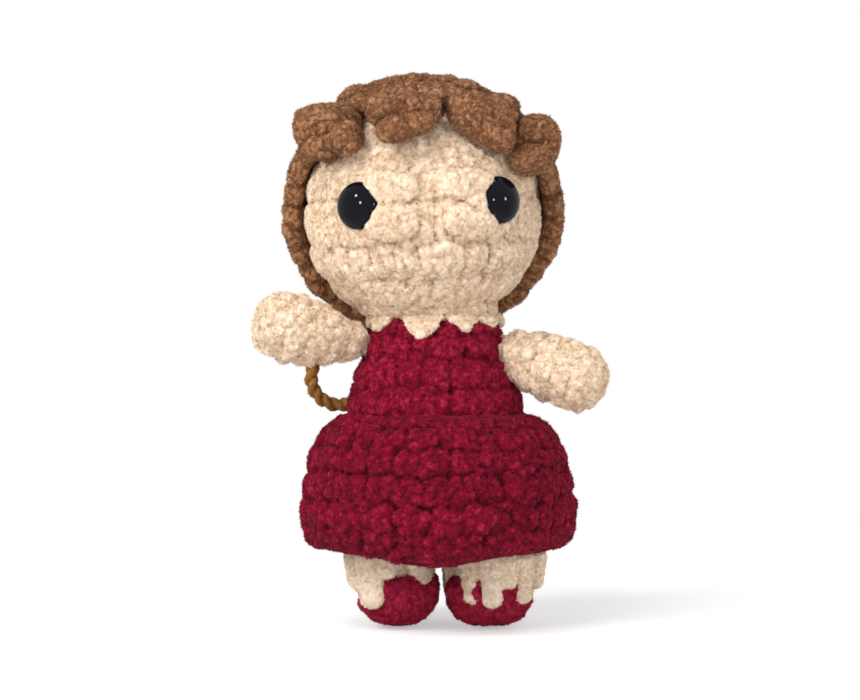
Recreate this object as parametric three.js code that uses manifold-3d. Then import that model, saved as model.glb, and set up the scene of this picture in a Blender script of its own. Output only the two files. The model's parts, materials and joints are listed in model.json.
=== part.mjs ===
// A crocheted plush doll in a burgundy dress, standing with its arms held out.
// Millimetres, +Z up, face towards -Y. Left and right are the doll's own, so left is +X.
// The origin is on the floor, under the middle of the doll's outline.

import * as THREE from 'three';
import { mergeVertices } from 'three/addons/utils/BufferGeometryUtils.js';
import Module from 'manifold-3d';

const wasm = await Module();
wasm.setup();

// Fits shared by every piece
const seatGap = 0.3;
const socketGap = 0.6;
const cutOverrun = 4;
const degree = Math.PI / 180;
const mergeDistance = 1e-4;
const arcStep = 15;

// Yarn fabric: one crocheted layer on the head and body, a thinner one on the limbs
const coverThickness = 6;
const limbThickness = 4.5;

// Rounds of stitches: each one is full in its middle and drawn in where it meets the next.
// Each pair is a share of the way across a round, then a share of the crease's depth there
const creaseDepth = 2;
const roundReliefShares = [[0, 1], [0.25, 0.22], [0.5, 0], [0.75, 0.22]];

// Body under the dress, from its underside to the neck
const hipHeight = 33;
const hipClearance = 4.4;
const bodyHeight = 56.7;
const bodyX = 1.8;
const waistRadius = 27.4;
const neckRadius = 18.6;
const neckBoreRadius = 10.5;
const bodyBottom = hipHeight + hipClearance;
const neckHeight = bodyBottom + bodyHeight;
// Each pair is a share of the body's height, then a share of the waist's radius
const bodyOutlineShares = [
  [0, 0], [0, 0.66], [0.03, 0.88], [0.11, 0.98], [0.22, 1], [0.53, 1], [0.62, 0.925],
  [0.72, 0.845], [0.83, 0.775], [0.93, 0.72],
];
// Edges between the rounds above the skirt, as shares of the body's height
const bodyRoundShares = [0.633, 0.79, 0.908];

// Skirt tier, a bell that hangs from the waist and curls in at its hem
const skirtRadius = 42.3;
const skirtHeight = 43;
const skirtTopShare = 0.48;
const skirtTop = bodyBottom + skirtTopShare * bodyHeight;
const skirtThickness = 4.4;
const foldDepth = 1;
const foldCount = 12;
const hemDip = 3;
// Each pair is a share of the way out from the waist to the widest place, then of the height
const skirtOuterShares = [
  [0, 1], [0.2, 1], [0.42, 0.94], [0.68, 0.83], [0.84, 0.64], [0.96, 0.45], [1, 0.3],
  [0.95, 0.17], [0.78, 0.06], [0.55, 0],
];
// Edges between the skirt's rounds, as shares of its height
const skirtRoundShares = [0.83, 0.64, 0.44, 0.23];

// Head, a ball on the neck, leaning a little to the doll's right
const headRadius = 36;
const headLean = 3.9;
const hairThickness = 6.7;
const hairRadius = headRadius + seatGap + hairThickness;
// Edges between rounds, in degrees from the top of the head and from the crown of the hair
const headRoundAngles = [13, 36, 59, 83, 104, 123, 140];
const hairRoundAngles = [12, 24, 36, 48, 60, 71, 82, 94];
const headNodAngle = 3;
const headRollAngle = 1.5;
const crownRiseAngle = 30.5;
const headRise = Math.sqrt(headRadius ** 2 - neckRadius ** 2);
const headCentre = new THREE.Vector3(
  bodyX - headLean, skirtRadius - hairRadius, neckHeight + seatGap + headRise,
);

// Hair cap: its rim seen from the side, as shares of the hair's radius forward and up
const hairRimShares = [
  [-0.62, -1.24], [-0.33, -0.7], [0.02, 0], [0.19, 0.58], [0.56, 0.77], [1.1, 1.04],
];
const hairBottomDrop = 3;
const hairNeckClearance = 2;

// Safety eyes: a dome on a post, locked by a washer inside the head
const eyeDiameter = 14;
const eyeDomeHeight = 4.6;
const eyeRimHeight = 1;
const eyeSeatDepth = 1;
const postDiameter = 4;
const postReach = 3;
const washerDiameter = 12;
const washerThickness = 2;
const eyeSpreadAngle = 35;
const faceTurnAngle = 4;
const eyeRiseAngle = 3.1;
const faceRollAngle = 1.5;

// Curls of the fringe: where each one sits on the head, in degrees round from straight ahead and
// up, how much of a full curl's width and height it has, and how far its roll is tilted
const curlHalfWidth = 12;
const curlHalfHeight = 9;
const curlHalfDepth = 7;
const curlSeat = 4.8;
const curls = [
  { turnAngle: -62.5, riseAngle: 37.8, widthShare: 0.93, heightShare: 1.04, rollAngle: 8 },
  { turnAngle: -11.5, riseAngle: 46.5, widthShare: 1, heightShare: 0.91, rollAngle: -4 },
  { turnAngle: 36.6, riseAngle: 43, widthShare: 1.02, heightShare: 0.96, rollAngle: -22 },
  { turnAngle: 70.1, riseAngle: 30.6, widthShare: 0.75, heightShare: 1.07, rollAngle: -14 },
];

// Tan spike stitches that hang from the neck over the dress
const spikeThickness = 1.6;
const spikeBand = 1.6;
const spikeHalfWidth = 4.4;
const spikeStartAngle = -13;
const spikeLength = 6.2;
const spikeLengthShares = [1, 0.55, 0.42, 0.26, 0.58, 0.74, 0.55, 0.19, 0.52];

// Arms: a ball at the shoulder swells to the arm and rounds off at the hand
const shoulderRadius = 6;
const armRadius = 10.5;
const armForwardAngle = 18;
const armY = -4.5;
const armOpening = 2.6;
const shoulderStandOff = 2.1;
const leftShoulderDrop = 11.4;
const rightShoulderDrop = 8.1;
const leftArmLength = 31.3;
const rightArmLength = 35.6;
const arms = {
  left: { side: 1, drop: leftShoulderDrop, length: leftArmLength, riseAngle: -17 },
  right: { side: -1, drop: rightShoulderDrop, length: rightArmLength, riseAngle: 10 },
};
// Each pair is a share of the arm's length, then a share of its radius
const armOutlineShares = [
  [0.08, 0.57], [0.18, 0.66], [0.32, 0.9], [0.5, 1], [0.68, 0.97], [0.82, 0.87], [0.92, 0.67],
  [0.98, 0.36],
];

// Legs: a ball at the hip, a plump shank and spike stitches over the shoe
const hipRadius = 12;
const legRadius = 14.4;
const legSpacing = 30.6;
const legMiddleX = 3.5;
const shoeHeight = 14;
const hipOpening = 5;
const legOutlineShares = [[0, 0.96], [0.2, 0.99], [0.45, 1], [0.7, 0.96], [0.9, 0.87]];

// Shoes: round, a little longer than wide, flat where they stand
const shoeRadius = 12.6;
const soleRadius = 10.2;
const shoeLengthShare = 1.2;
const soleThickness = 5;
const shoeOutlineShares = [[0.06, 0.88], [0.2, 0.97], [0.42, 1], [1, 1]];

// Spike stitches round each ankle, with the share of the shoe's height that each one leaves bare
const lobeRadius = 3.4;
const lobeThickness = 1.4;
const lobeOverlap = 1.4;
const lobeHeightShares = {
  left: [0.38, 0.68, 0.48, 0.64, 0.54, 0.66, 0.57, 0.67, 0.63, 0.48],
  right: [0.4, 0.7, 0.87, 0.64, 0.59, 0.67, 0.54, 0.66, 0.7, 0.53],
};
const lobeStartAngle = { left: -3, right: -22 };

// Twisted cord at the back, sewn to the dress at both ends
const cordDiameter = 4.4;
const cordSteps = 18;
const cordRoute = [
  [-15.1, 14, 84.4], [-18.1, 16.6, 84.6], [-22, 19, 85.2], [-26.5, 20.2, 85.6],
  [-30.6, 20.3, 84.6], [-34.2, 20.1, 82.2], [-36.5, 19.9, 78.8], [-37, 19.8, 75],
  [-35.9, 19.9, 71.4], [-33.4, 20.3, 68.6], [-29.9, 20.8, 67.2], [-26.2, 20.6, 67.2],
  [-22.9, 19.4, 67.7], [-20, 17.6, 68.2],
];

// How finely round pieces are divided
const headSegments = 24;
const bodySegments = 24;
const limbSegments = 16;
const smallSegments = 12;
const lobeSegments = 6;
const cordSides = 8;
const skirtSegments = 36;
const insideSegments = 16;
const limbInsideSegments = 12;

const colours = {
  skin: 0xe6c8a2,
  dress: 0x96193c,
  hair: 0x6f4526,
  cord: 0x8c5f32,
  eye: 0x0f1016,
  washer: 0xe4e2da,
  filling: 0xf2f0ea,
};

function material(colour, roughness = 0.95) {
  return new THREE.MeshStandardMaterial({ color: colour, roughness, metalness: 0 });
}

// A three.js geometry as a solid, with its faces turned outwards
function solidFrom(geometry) {
  const bare = geometry.index ? geometry.toNonIndexed() : geometry.clone();
  for (const name of Object.keys(bare.attributes)) {
    if (name !== 'position') bare.deleteAttribute(name);
  }
  const merged = mergeVertices(bare, mergeDistance);
  const corners = merged.getIndex().array;
  const kept = [];
  for (let i = 0; i < corners.length; i += 3) {
    const [a, b, c] = corners.slice(i, i + 3);
    if (a !== b && b !== c && c !== a) kept.push(a, b, c);
  }
  const points = merged.attributes.position.array;
  if (signedVolume(points, kept) < 0) kept.reverse();
  return new wasm.Manifold(new wasm.Mesh({
    numProp: 3,
    vertProperties: new Float32Array(points),
    triVerts: new Uint32Array(kept),
  }));
}

function signedVolume(points, corners) {
  const place = (i) => new THREE.Vector3().fromArray(points, i * 3);
  let total = 0;
  for (let i = 0; i < corners.length; i += 3) {
    const [a, b, c] = corners.slice(i, i + 3).map(place);
    total += a.dot(b.cross(c));
  }
  return total;
}

function geometryFrom(solid) {
  const mesh = solid.getMesh();
  const positions = new Float32Array(mesh.numVert * 3);
  for (let i = 0; i < mesh.numVert; i += 1) {
    for (let k = 0; k < 3; k += 1) {
      positions[i * 3 + k] = mesh.vertProperties[i * mesh.numProp + k];
    }
  }
  const geometry = new THREE.BufferGeometry();
  geometry.setAttribute('position', new THREE.BufferAttribute(positions, 3));
  geometry.setIndex([...mesh.triVerts]);
  geometry.computeVertexNormals();
  return geometry;
}

// Turns a profile of [height, radius] pairs about +Z
function turned(profile, segments) {
  const points = profile.map(([height, radius]) => new THREE.Vector2(radius, height));
  return new THREE.LatheGeometry(points, segments).rotateX(90 * degree);
}

function ball(centre, radius, segments) {
  const geometry = new THREE.SphereGeometry(radius, segments, segments / 2).rotateX(90 * degree);
  return solidFrom(geometry.translate(centre.x, centre.y, centre.z));
}

// A ball for cutting, whose flats, not only its corners, reach the radius
function cutterBall(centre, radius, segments) {
  return ball(centre, radius / Math.cos((180 / segments) * degree) ** 2, segments);
}

// An upright cylinder between two heights
function column(x, y, bottom, top, radius, segments) {
  const geometry = new THREE.CylinderGeometry(radius, radius, top - bottom, segments).rotateX(90 * degree);
  return solidFrom(geometry.translate(x, y, (bottom + top) / 2));
}

function block(centre, size) {
  const geometry = new THREE.BoxGeometry(size.x, size.y, size.z);
  return solidFrom(geometry.translate(centre.x, centre.y, centre.z));
}

// Moves a solid that was built along +Z so that it starts at a place and points along a direction
function aimed(geometry, place, direction) {
  const turn = new THREE.Quaternion().setFromUnitVectors(new THREE.Vector3(0, 0, 1), direction);
  return solidFrom(geometry.applyQuaternion(turn).translate(place.x, place.y, place.z));
}

const doll = new THREE.Group();

function addPiece(name, solid, pieceMaterial) {
  const mesh = new THREE.Mesh(geometryFrom(solid), pieceMaterial);
  mesh.name = name;
  doll.add(mesh);
}

// A ball in rounds about an axis, from the angles off the axis where each round ends
function ballInRounds(centre, radius, axis, edgeAngles, segments) {
  const [first] = edgeAngles;
  const last = edgeAngles[edgeAngles.length - 1];
  const edges = [-first, ...edgeAngles, 360 - last];
  const profile = [];
  for (let i = 1; i < edges.length; i += 1) {
    for (const [acrossShare, depthShare] of roundReliefShares) {
      const angle = edges[i - 1] + acrossShare * (edges[i] - edges[i - 1]);
      const reach = radius - depthShare * creaseDepth;
      if (angle >= 0 && angle <= 180) {
        profile.push([reach * Math.cos(angle * degree), reach * Math.sin(angle * degree)]);
      }
    }
  }
  profile[0][1] = 0;
  profile[profile.length - 1][1] = 0;
  return aimed(turned(profile, segments), centre, axis);
}

// Heights from one edge to the last, each with the depth that its round is drawn in there
function heightsInRounds(edges) {
  const found = [];
  for (let i = 1; i < edges.length; i += 1) {
    for (const [acrossShare, depthShare] of roundReliefShares) {
      found.push([edges[i - 1] + acrossShare * (edges[i] - edges[i - 1]), depthShare * creaseDepth]);
    }
  }
  return found;
}

// Body outline, grown or shrunk by a distance
function bodyProfile(offset) {
  const bottom = bodyBottom - offset;
  const middle = bodyOutlineShares.map(([heightShare, radiusShare]) => {
    const radius = radiusShare * waistRadius;
    const height = bodyBottom + heightShare * bodyHeight;
    return [heightShare > 0 ? Math.max(height, bottom) : bottom, radius > 0 ? radius + offset : 0];
  });
  return [...middle, [neckHeight, neckRadius + offset]];
}

function bodyRadiusAt(height) {
  const profile = bodyProfile(0);
  for (let i = 2; i < profile.length; i += 1) {
    const [low, lowRadius] = profile[i - 1];
    const [high, highRadius] = profile[i];
    if (height <= high) {
      return lowRadius + ((height - low) / (high - low)) * (highRadius - lowRadius);
    }
  }
  return neckRadius;
}

// The outline's solid, closed flat at a top height
function bodySolid(offset, top) {
  const profile = bodyProfile(offset);
  profile.push([top, profile[profile.length - 1][1]], [top, 0]);
  return solidFrom(turned(profile, bodySegments).translate(bodyX, 0, 0));
}

// The body's outside: plain under the skirt and in rounds above it
function bodyOutside() {
  const edges = bodyRoundShares.map((heightShare) => bodyBottom + heightShare * bodyHeight);
  const profile = bodyProfile(0).filter(([height]) => height < skirtTop);
  for (const [height, depth] of heightsInRounds([skirtTop, ...edges, neckHeight])) {
    profile.push([height, bodyRadiusAt(height) - (height > skirtTop ? depth : 0)]);
  }
  profile.push([neckHeight, neckRadius], [neckHeight, 0]);
  return solidFrom(turned(profile, bodySegments).translate(bodyX, 0, 0));
}

// The room inside the body's cover, out through the neck
function bodyInside(extra, top) {
  const profile = bodyProfile(-coverThickness - extra).filter(([height]) => height < neckHeight);
  const bore = neckBoreRadius - extra;
  const last = profile[profile.length - 1];
  const shoulder = Math.min(neckHeight - coverThickness / 2, last[0]);
  last[0] = shoulder;
  last[1] = Math.max(last[1], bore);
  profile.push([neckHeight, bore], [top, bore], [top, 0]);
  return solidFrom(turned(profile, insideSegments).translate(bodyX, 0, 0));
}

// Shoulder and hip centres, in the body's own surface
function shoulderOf(arm) {
  const height = neckHeight - arm.drop;
  const radius = bodyRadiusAt(height);
  const across = Math.sqrt(radius ** 2 - armY ** 2);
  return new THREE.Vector3(bodyX + arm.side * (across + shoulderStandOff), armY, height);
}

function hipOf(side) {
  return new THREE.Vector3(legMiddleX + (side * legSpacing) / 2, 0, hipHeight);
}

const sides = { left: 1, right: -1 };

function bodySockets(extra) {
  let sockets = null;
  for (const [name, side] of Object.entries(sides)) {
    const shoulder = ball(shoulderOf(arms[name]), shoulderRadius + extra, limbSegments);
    const hip = ball(hipOf(side), hipRadius + extra, limbSegments);
    const pair = shoulder.add(hip);
    sockets = sockets ? sockets.add(pair) : pair;
  }
  return sockets;
}

function makeBody() {
  const sockets = bodySockets(socketGap);
  const cover = bodyOutside()
    .subtract(bodyInside(0, neckHeight + cutOverrun))
    .subtract(sockets);
  addPiece('bodice', cover, material(colours.dress));
  const filling = bodyInside(seatGap, neckHeight).subtract(sockets);
  addPiece('body_stuffing', filling, material(colours.filling));
}

// A ring or shell grid closed round the axis, from a ring of points for each angle
function ringGrid(pointAt, rows, columns) {
  const positions = [];
  for (let j = 0; j < columns; j += 1) {
    for (let i = 0; i < rows; i += 1) {
      positions.push(...pointAt(i, (j / columns) * 360 * degree).toArray());
    }
  }
  const corners = [];
  for (let j = 0; j < columns; j += 1) {
    const next = (j + 1) % columns;
    for (let i = 0; i < rows; i += 1) {
      const up = (i + 1) % rows;
      const [a, b, c, d] = [j * rows + i, next * rows + i, next * rows + up, j * rows + up];
      corners.push(a, b, c, a, c, d);
    }
  }
  const geometry = new THREE.BufferGeometry();
  geometry.setAttribute('position', new THREE.Float32BufferAttribute(positions, 3));
  geometry.setIndex(corners);
  return geometry;
}

// The skirt's outer outline, from the waist to the hem, drawn in at the edges of its rounds
function skirtInRounds(outline) {
  const edges = skirtRoundShares.map((upShare) => skirtTop - (1 - upShare) * skirtHeight);
  const lowest = edges[edges.length - 1];
  const radiusAt = (height) => {
    const index = outline.findIndex((point) => point.y <= height);
    const [above, below] = [outline[index - 1], outline[index]];
    return THREE.MathUtils.mapLinear(height, above.y, below.y, above.x, below.x);
  };
  return [
    ...outline.filter((point) => point.y > edges[0] + creaseDepth),
    ...heightsInRounds(edges).map(([height, depth]) => new THREE.Vector2(radiusAt(height) - depth, height)),
    new THREE.Vector2(radiusAt(lowest) - creaseDepth, lowest),
    ...outline.filter((point) => point.y < lowest - creaseDepth),
  ];
}

function makeSkirt() {
  const start = waistRadius + seatGap;
  const reach = skirtRadius - foldDepth - start;
  const outer = skirtOuterShares.map(([outShare, upShare]) => (
    new THREE.Vector2(start + outShare * reach, skirtTop - (1 - upShare) * skirtHeight)
  ));
  // The inside follows the outside one fabric thickness in
  const inner = outer.slice(2).map((point, index) => {
    const before = outer[index + 1];
    const after = outer[Math.min(index + 3, outer.length - 1)];
    const along = after.clone().sub(before).normalize();
    const inwards = new THREE.Vector2(along.y, -along.x).multiplyScalar(skirtThickness);
    return new THREE.Vector2(Math.max(point.x + inwards.x, start), point.y + inwards.y);
  });
  inner[inner.length - 1].y = outer[outer.length - 1].y + skirtThickness / 2;
  const seat = new THREE.Vector2(start, skirtTop - skirtThickness);
  const section = [...skirtInRounds(outer), ...inner.reverse(), seat];
  const pointAt = (row, angle) => {
    const { x: radius, y: height } = section[row];
    const outShare = Math.max(0, (radius - start) / reach);
    const downShare = (skirtTop - height) / skirtHeight;
    const folded = radius + foldDepth * outShare * Math.cos(foldCount * (angle - 90 * degree));
    const dip = hemDip * downShare ** 2 * Math.sin(angle) ** 2;
    return new THREE.Vector3(bodyX + folded * Math.cos(angle), folded * Math.sin(angle), height - dip);
  };
  const skirt = solidFrom(ringGrid(pointAt, section.length, skirtSegments));
  addPiece('skirt', skirt, material(colours.dress));
}

// Tan ring at the neck whose spike stitches lie on the dress
function makeNeckSpikes() {
  const skin = bodySolid(seatGap + spikeThickness, neckHeight)
    .subtract(bodySolid(seatGap, neckHeight + cutOverrun));
  const band = column(bodyX, 0, neckHeight - spikeBand, neckHeight + cutOverrun, waistRadius, bodySegments);
  let pattern = band;
  spikeLengthShares.forEach((lengthShare, index) => {
    const outline = new THREE.Shape([
      new THREE.Vector2(-spikeHalfWidth, 0),
      new THREE.Vector2(0, -lengthShare * spikeLength),
      new THREE.Vector2(spikeHalfWidth, 0),
      new THREE.Vector2(spikeHalfWidth, spikeBand),
      new THREE.Vector2(-spikeHalfWidth, spikeBand),
    ]);
    const spike = new THREE.ExtrudeGeometry(outline, { depth: waistRadius, bevelEnabled: false })
      .rotateX(90 * degree)
      .rotateZ((spikeStartAngle + (index * 360) / spikeLengthShares.length) * degree)
      .translate(bodyX, 0, neckHeight - spikeBand);
    pattern = pattern.add(solidFrom(spike));
  });
  addPiece('neck_spikes', skin.intersect(pattern).subtract(bodySockets(socketGap)), material(colours.skin));
}

// Direction out of the face for an eye
function eyeDirection(side) {
  const azimuth = (side * eyeSpreadAngle + faceTurnAngle) * degree;
  const rise = (eyeRiseAngle + side * faceRollAngle) * degree;
  return new THREE.Vector3(
    Math.sin(azimuth) * Math.cos(rise), -Math.cos(azimuth) * Math.cos(rise), Math.sin(rise),
  );
}

const eyeSeat = headRadius - eyeSeatDepth;
const washerFace = Math.sqrt((headRadius - coverThickness) ** 2 - (washerDiameter / 2) ** 2)
  * Math.cos((180 / insideSegments) * degree) ** 2 - seatGap;
const postEnd = washerFace - washerThickness - postReach;

// A round cutter along an eye's axis, between two distances from the head's middle
function alongEye(side, from, to, radius) {
  const geometry = turned([[from, 0], [from, radius], [to, radius], [to, 0]], smallSegments);
  return aimed(geometry, headCentre, eyeDirection(side));
}

function makeEyes() {
  const eyeRadius = eyeDiameter / 2;
  const base = eyeSeat + seatGap;
  const dome = [];
  for (let angle = 0; angle <= 90; angle += arcStep) {
    dome.push([
      base + eyeRimHeight + (eyeDomeHeight - eyeRimHeight) * Math.sin(angle * degree),
      eyeRadius * Math.cos(angle * degree),
    ]);
  }
  dome[dome.length - 1][1] = 0;
  const post = postDiameter / 2;
  const eye = [[postEnd, 0], [postEnd, post], [base, post], [base, eyeRadius], ...dome];
  const bore = post + seatGap;
  const inner = washerFace - washerThickness;
  const washer = [
    [inner, bore], [inner, washerDiameter / 2], [washerFace, washerDiameter / 2], [washerFace, bore],
    [inner, bore],
  ];
  for (const [name, side] of Object.entries(sides)) {
    const direction = eyeDirection(side);
    const eyeSolid = aimed(turned(eye, smallSegments), headCentre, direction);
    addPiece(`${name}_eye`, eyeSolid, material(colours.eye, 0.08));
    const washerSolid = aimed(turned(washer, smallSegments), headCentre, direction);
    addPiece(`${name}_eye_washer`, washerSolid, material(colours.washer, 0.4));
  }
}

function makeHead() {
  const reach = headRadius + cutOverrun;
  const innerRadius = headRadius - coverThickness;
  const neckPlane = neckHeight + seatGap;
  const below = block(
    new THREE.Vector3(headCentre.x, headCentre.y, neckPlane - reach),
    new THREE.Vector3(4 * reach, 4 * reach, 2 * reach),
  );
  const neck = column(bodyX, 0, neckPlane, headCentre.z - innerRadius / 2, neckRadius, headSegments);
  const throat = column(
    bodyX, 0, neckPlane - cutOverrun, headCentre.z - innerRadius / 2, neckBoreRadius, insideSegments,
  );
  const axis = new THREE.Vector3(
    -Math.sin(headRollAngle * degree), -Math.sin(headNodAngle * degree), 1,
  ).normalize();
  let cover = ballInRounds(headCentre, headRadius, axis, headRoundAngles, headSegments)
    .add(neck)
    .subtract(below);
  cover = cover.subtract(ball(headCentre, innerRadius, insideSegments)).subtract(throat);
  const fillingBall = ball(headCentre, innerRadius - seatGap, insideSegments);
  const plug = column(
    bodyX, 0, neckPlane, headCentre.z - innerRadius / 2, neckBoreRadius - seatGap, insideSegments,
  );
  let filling = fillingBall.add(plug).subtract(below);
  for (const side of Object.values(sides)) {
    const pocket = alongEye(side, eyeSeat, reach, eyeDiameter / 2 + seatGap);
    const hole = alongEye(side, innerRadius / 2, reach, postDiameter / 2 + seatGap);
    cover = cover.subtract(pocket).subtract(hole);
    const room = alongEye(
      side, washerFace - washerThickness - seatGap, reach, washerDiameter / 2 + seatGap,
    );
    const end = alongEye(side, postEnd - seatGap, reach, postDiameter / 2 + seatGap);
    filling = filling.subtract(room).subtract(end);
  }
  addPiece('head_cover', cover, material(colours.skin));
  addPiece('head_stuffing', filling, material(colours.filling));
}

// The space in front of the hair's rim, moved forwards and down by a distance
function beforeHairRim(shift) {
  const rim = hairRimShares.map(([forwardShare, upShare]) => (
    new THREE.Vector2(forwardShare * hairRadius + shift, upShare * hairRadius - shift)
  ));
  const far = 2 * hairRadius;
  const outline = new THREE.Shape([
    ...rim, new THREE.Vector2(far, rim[rim.length - 1].y), new THREE.Vector2(far, rim[0].y),
  ]);
  const wedge = new THREE.ExtrudeGeometry(outline, { depth: 2 * far, bevelEnabled: false })
    .rotateX(90 * degree)
    .rotateZ(-90 * degree)
    .translate(headCentre.x + far, headCentre.y, headCentre.z);
  return solidFrom(wedge);
}

// The hair cap from its outer ball, with its hollow and its rim grown by a clearance
function hairSolid(outside, grow) {
  const bottom = neckHeight - hairBottomDrop;
  const far = 2 * hairRadius;
  const below = block(
    new THREE.Vector3(headCentre.x, headCentre.y, bottom - hairRadius),
    new THREE.Vector3(2 * far, 2 * far, 2 * hairRadius),
  );
  const neckRoom = column(
    bodyX, 0, bottom - cutOverrun, headCentre.z - headRadius / 2,
    neckRadius + spikeThickness + hairNeckClearance, headSegments,
  );
  return outside
    .subtract(cutterBall(headCentre, headRadius + seatGap - grow, headSegments))
    .subtract(beforeHairRim(grow))
    .subtract(below)
    .subtract(neckRoom);
}

// One plump curl, grown by a clearance for cutting its neighbour
function curlSolid(curl, grow) {
  const turn = curl.turnAngle * degree;
  const rise = curl.riseAngle * degree;
  const outwards = new THREE.Vector3(
    Math.sin(turn) * Math.cos(rise), -Math.cos(turn) * Math.cos(rise), Math.sin(rise),
  );
  const centre = outwards.clone().multiplyScalar(headRadius + curlSeat).add(headCentre);
  const geometry = new THREE.SphereGeometry(1, smallSegments, smallSegments - 4)
    .scale(
      curl.widthShare * curlHalfWidth + grow, curl.heightShare * curlHalfHeight + grow,
      curlHalfDepth + grow,
    )
    .rotateZ(curl.rollAngle * degree);
  const facing = new THREE.Matrix4().lookAt(outwards, new THREE.Vector3(), new THREE.Vector3(0, 0, 1));
  geometry.applyMatrix4(facing).translate(centre.x, centre.y, centre.z);
  return solidFrom(geometry);
}

function makeHair() {
  const crownRise = crownRiseAngle * degree;
  const crown = new THREE.Vector3(0, Math.cos(crownRise), Math.sin(crownRise));
  const hairBall = ballInRounds(headCentre, hairRadius, crown, hairRoundAngles, headSegments);
  addPiece('hair_cap', hairSolid(hairBall, 0), material(colours.hair));
  const headRoom = cutterBall(headCentre, headRadius + seatGap, headSegments);
  const hairRoom = hairSolid(cutterBall(headCentre, hairRadius + seatGap, headSegments), seatGap);
  curls.forEach((curl, index) => {
    let solid = curlSolid(curl, 0).subtract(headRoom).subtract(hairRoom);
    if (index > 0) solid = solid.subtract(curlSolid(curls[index - 1], seatGap));
    const [largest] = solid.decompose().sort((a, b) => b.volume() - a.volume());
    addPiece(`curl_${index + 1}`, largest, material(colours.hair));
  });
}

// Quarter circle of a ball at the start of a limb, as [distance, radius] pairs
function limbBall(radius) {
  const pairs = [];
  for (let angle = -90; angle <= 0; angle += arcStep) {
    pairs.push([radius * Math.sin(angle * degree), radius * Math.cos(angle * degree)]);
  }
  pairs[0][1] = 0;
  return pairs;
}

function makeArms() {
  for (const [name, arm] of Object.entries(arms)) {
    const outline = (offset) => {
      const middle = armOutlineShares.map(([alongShare, radiusShare]) => (
        [alongShare * (arm.length - offset), radiusShare * armRadius - offset]
      )).filter(([, radius]) => radius > 0);
      return [...limbBall(shoulderRadius - offset), ...middle, [arm.length - offset, 0]];
    };
    const rise = arm.riseAngle * degree;
    const forward = armForwardAngle * degree;
    const direction = new THREE.Vector3(
      arm.side * Math.cos(rise) * Math.cos(forward), -Math.cos(rise) * Math.sin(forward), Math.sin(rise),
    );
    const shoulder = shoulderOf(arm);
    const solid = (profile, segments) => aimed(turned(profile, segments), shoulder, direction);
    const opening = solid([
      [-shoulderRadius - cutOverrun, 0], [-shoulderRadius - cutOverrun, armOpening],
      [0, armOpening], [0, 0],
    ], limbInsideSegments);
    const inside = solid(outline(limbThickness), limbInsideSegments);
    const cover = solid(outline(0), limbSegments).subtract(inside).subtract(opening);
    addPiece(`${name}_arm_cover`, cover, material(colours.skin));
    const filling = solid(outline(limbThickness + seatGap), limbInsideSegments);
    addPiece(`${name}_arm_stuffing`, filling, material(colours.filling));
  }
}

// Shoe outline as [height, radius] pairs, grown by a distance, up to its top edge
function shoeProfile(grow) {
  const middle = shoeOutlineShares.map(([heightShare, radiusShare]) => (
    [heightShare * shoeHeight, radiusShare * shoeRadius + grow]
  ));
  return [[0, 0], [0, soleRadius + grow], ...middle];
}

function shoeSolid(hip, grow, top) {
  const profile = shoeProfile(grow);
  profile[profile.length - 1][0] = top;
  const geometry = turned([...profile, [top, 0]], limbSegments).scale(1, shoeLengthShare, 1);
  return solidFrom(geometry.translate(hip.x, hip.y, 0));
}

function makeLegs() {
  const rimHeight = shoeHeight + seatGap;
  const shank = hipHeight - rimHeight;
  const legProfile = (offset, bottom) => {
    const middle = legOutlineShares.map(([heightShare, radiusShare]) => (
      [rimHeight + heightShare * shank, radiusShare * legRadius - offset]
    ));
    const top = limbBall(hipRadius - offset).reverse().map(([along, radius]) => (
      [hipHeight - along, radius]
    ));
    middle[0][0] = bottom;
    return [[bottom, 0], ...middle, ...top];
  };
  for (const [name, side] of Object.entries(sides)) {
    const hip = hipOf(side);
    const solid = (profile, segments) => (
      solidFrom(turned(profile, segments).translate(hip.x, hip.y, 0))
    );
    const opening = column(
      hip.x, hip.y, hipHeight, hipHeight + hipRadius + cutOverrun, hipOpening, smallSegments,
    );
    const ankle = shoeSolid(hip, seatGap + lobeThickness, rimHeight + lobeOverlap);
    const cuff = ankle.subtract(shoeSolid(hip, seatGap, rimHeight));
    let lobes = null;
    const heightShares = lobeHeightShares[name];
    heightShares.forEach((heightShare, index) => {
      const height = heightShare * shoeHeight;
      const angle = (lobeStartAngle[name] + (index * 360) / heightShares.length) * degree;
      const x = hip.x + shoeRadius * Math.sin(angle);
      const y = hip.y - shoeRadius * shoeLengthShare * Math.cos(angle);
      const end = ball(new THREE.Vector3(x, y, height + lobeRadius), lobeRadius, lobeSegments);
      const lobe = end.add(
        column(x, y, height + lobeRadius, rimHeight + cutOverrun, lobeRadius, lobeSegments),
      );
      lobes = lobes ? lobes.add(lobe) : lobe;
    });
    const belowRim = column(hip.x, hip.y, -cutOverrun, rimHeight, 2 * legRadius, smallSegments);
    const inside = solid(legProfile(limbThickness, rimHeight - cutOverrun), limbInsideSegments);
    const cover = solid(legProfile(0, rimHeight), limbSegments)
      .add(ankle.subtract(belowRim))
      .add(cuff.intersect(lobes))
      .subtract(inside)
      .subtract(opening);
    addPiece(`${name}_leg_cover`, cover, material(colours.skin));

    const cavityRadius = legRadius * legOutlineShares[0][1] - limbThickness;
    const cavity = column(
      hip.x, hip.y, soleThickness, shoeHeight + cutOverrun, cavityRadius, limbInsideSegments,
    );
    addPiece(`${name}_shoe`, shoeSolid(hip, 0, shoeHeight).subtract(cavity), material(colours.dress));

    const filling = solid(
      legProfile(limbThickness + seatGap, soleThickness + seatGap), limbInsideSegments,
    );
    addPiece(`${name}_leg_stuffing`, filling, material(colours.filling));
  }
}

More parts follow.
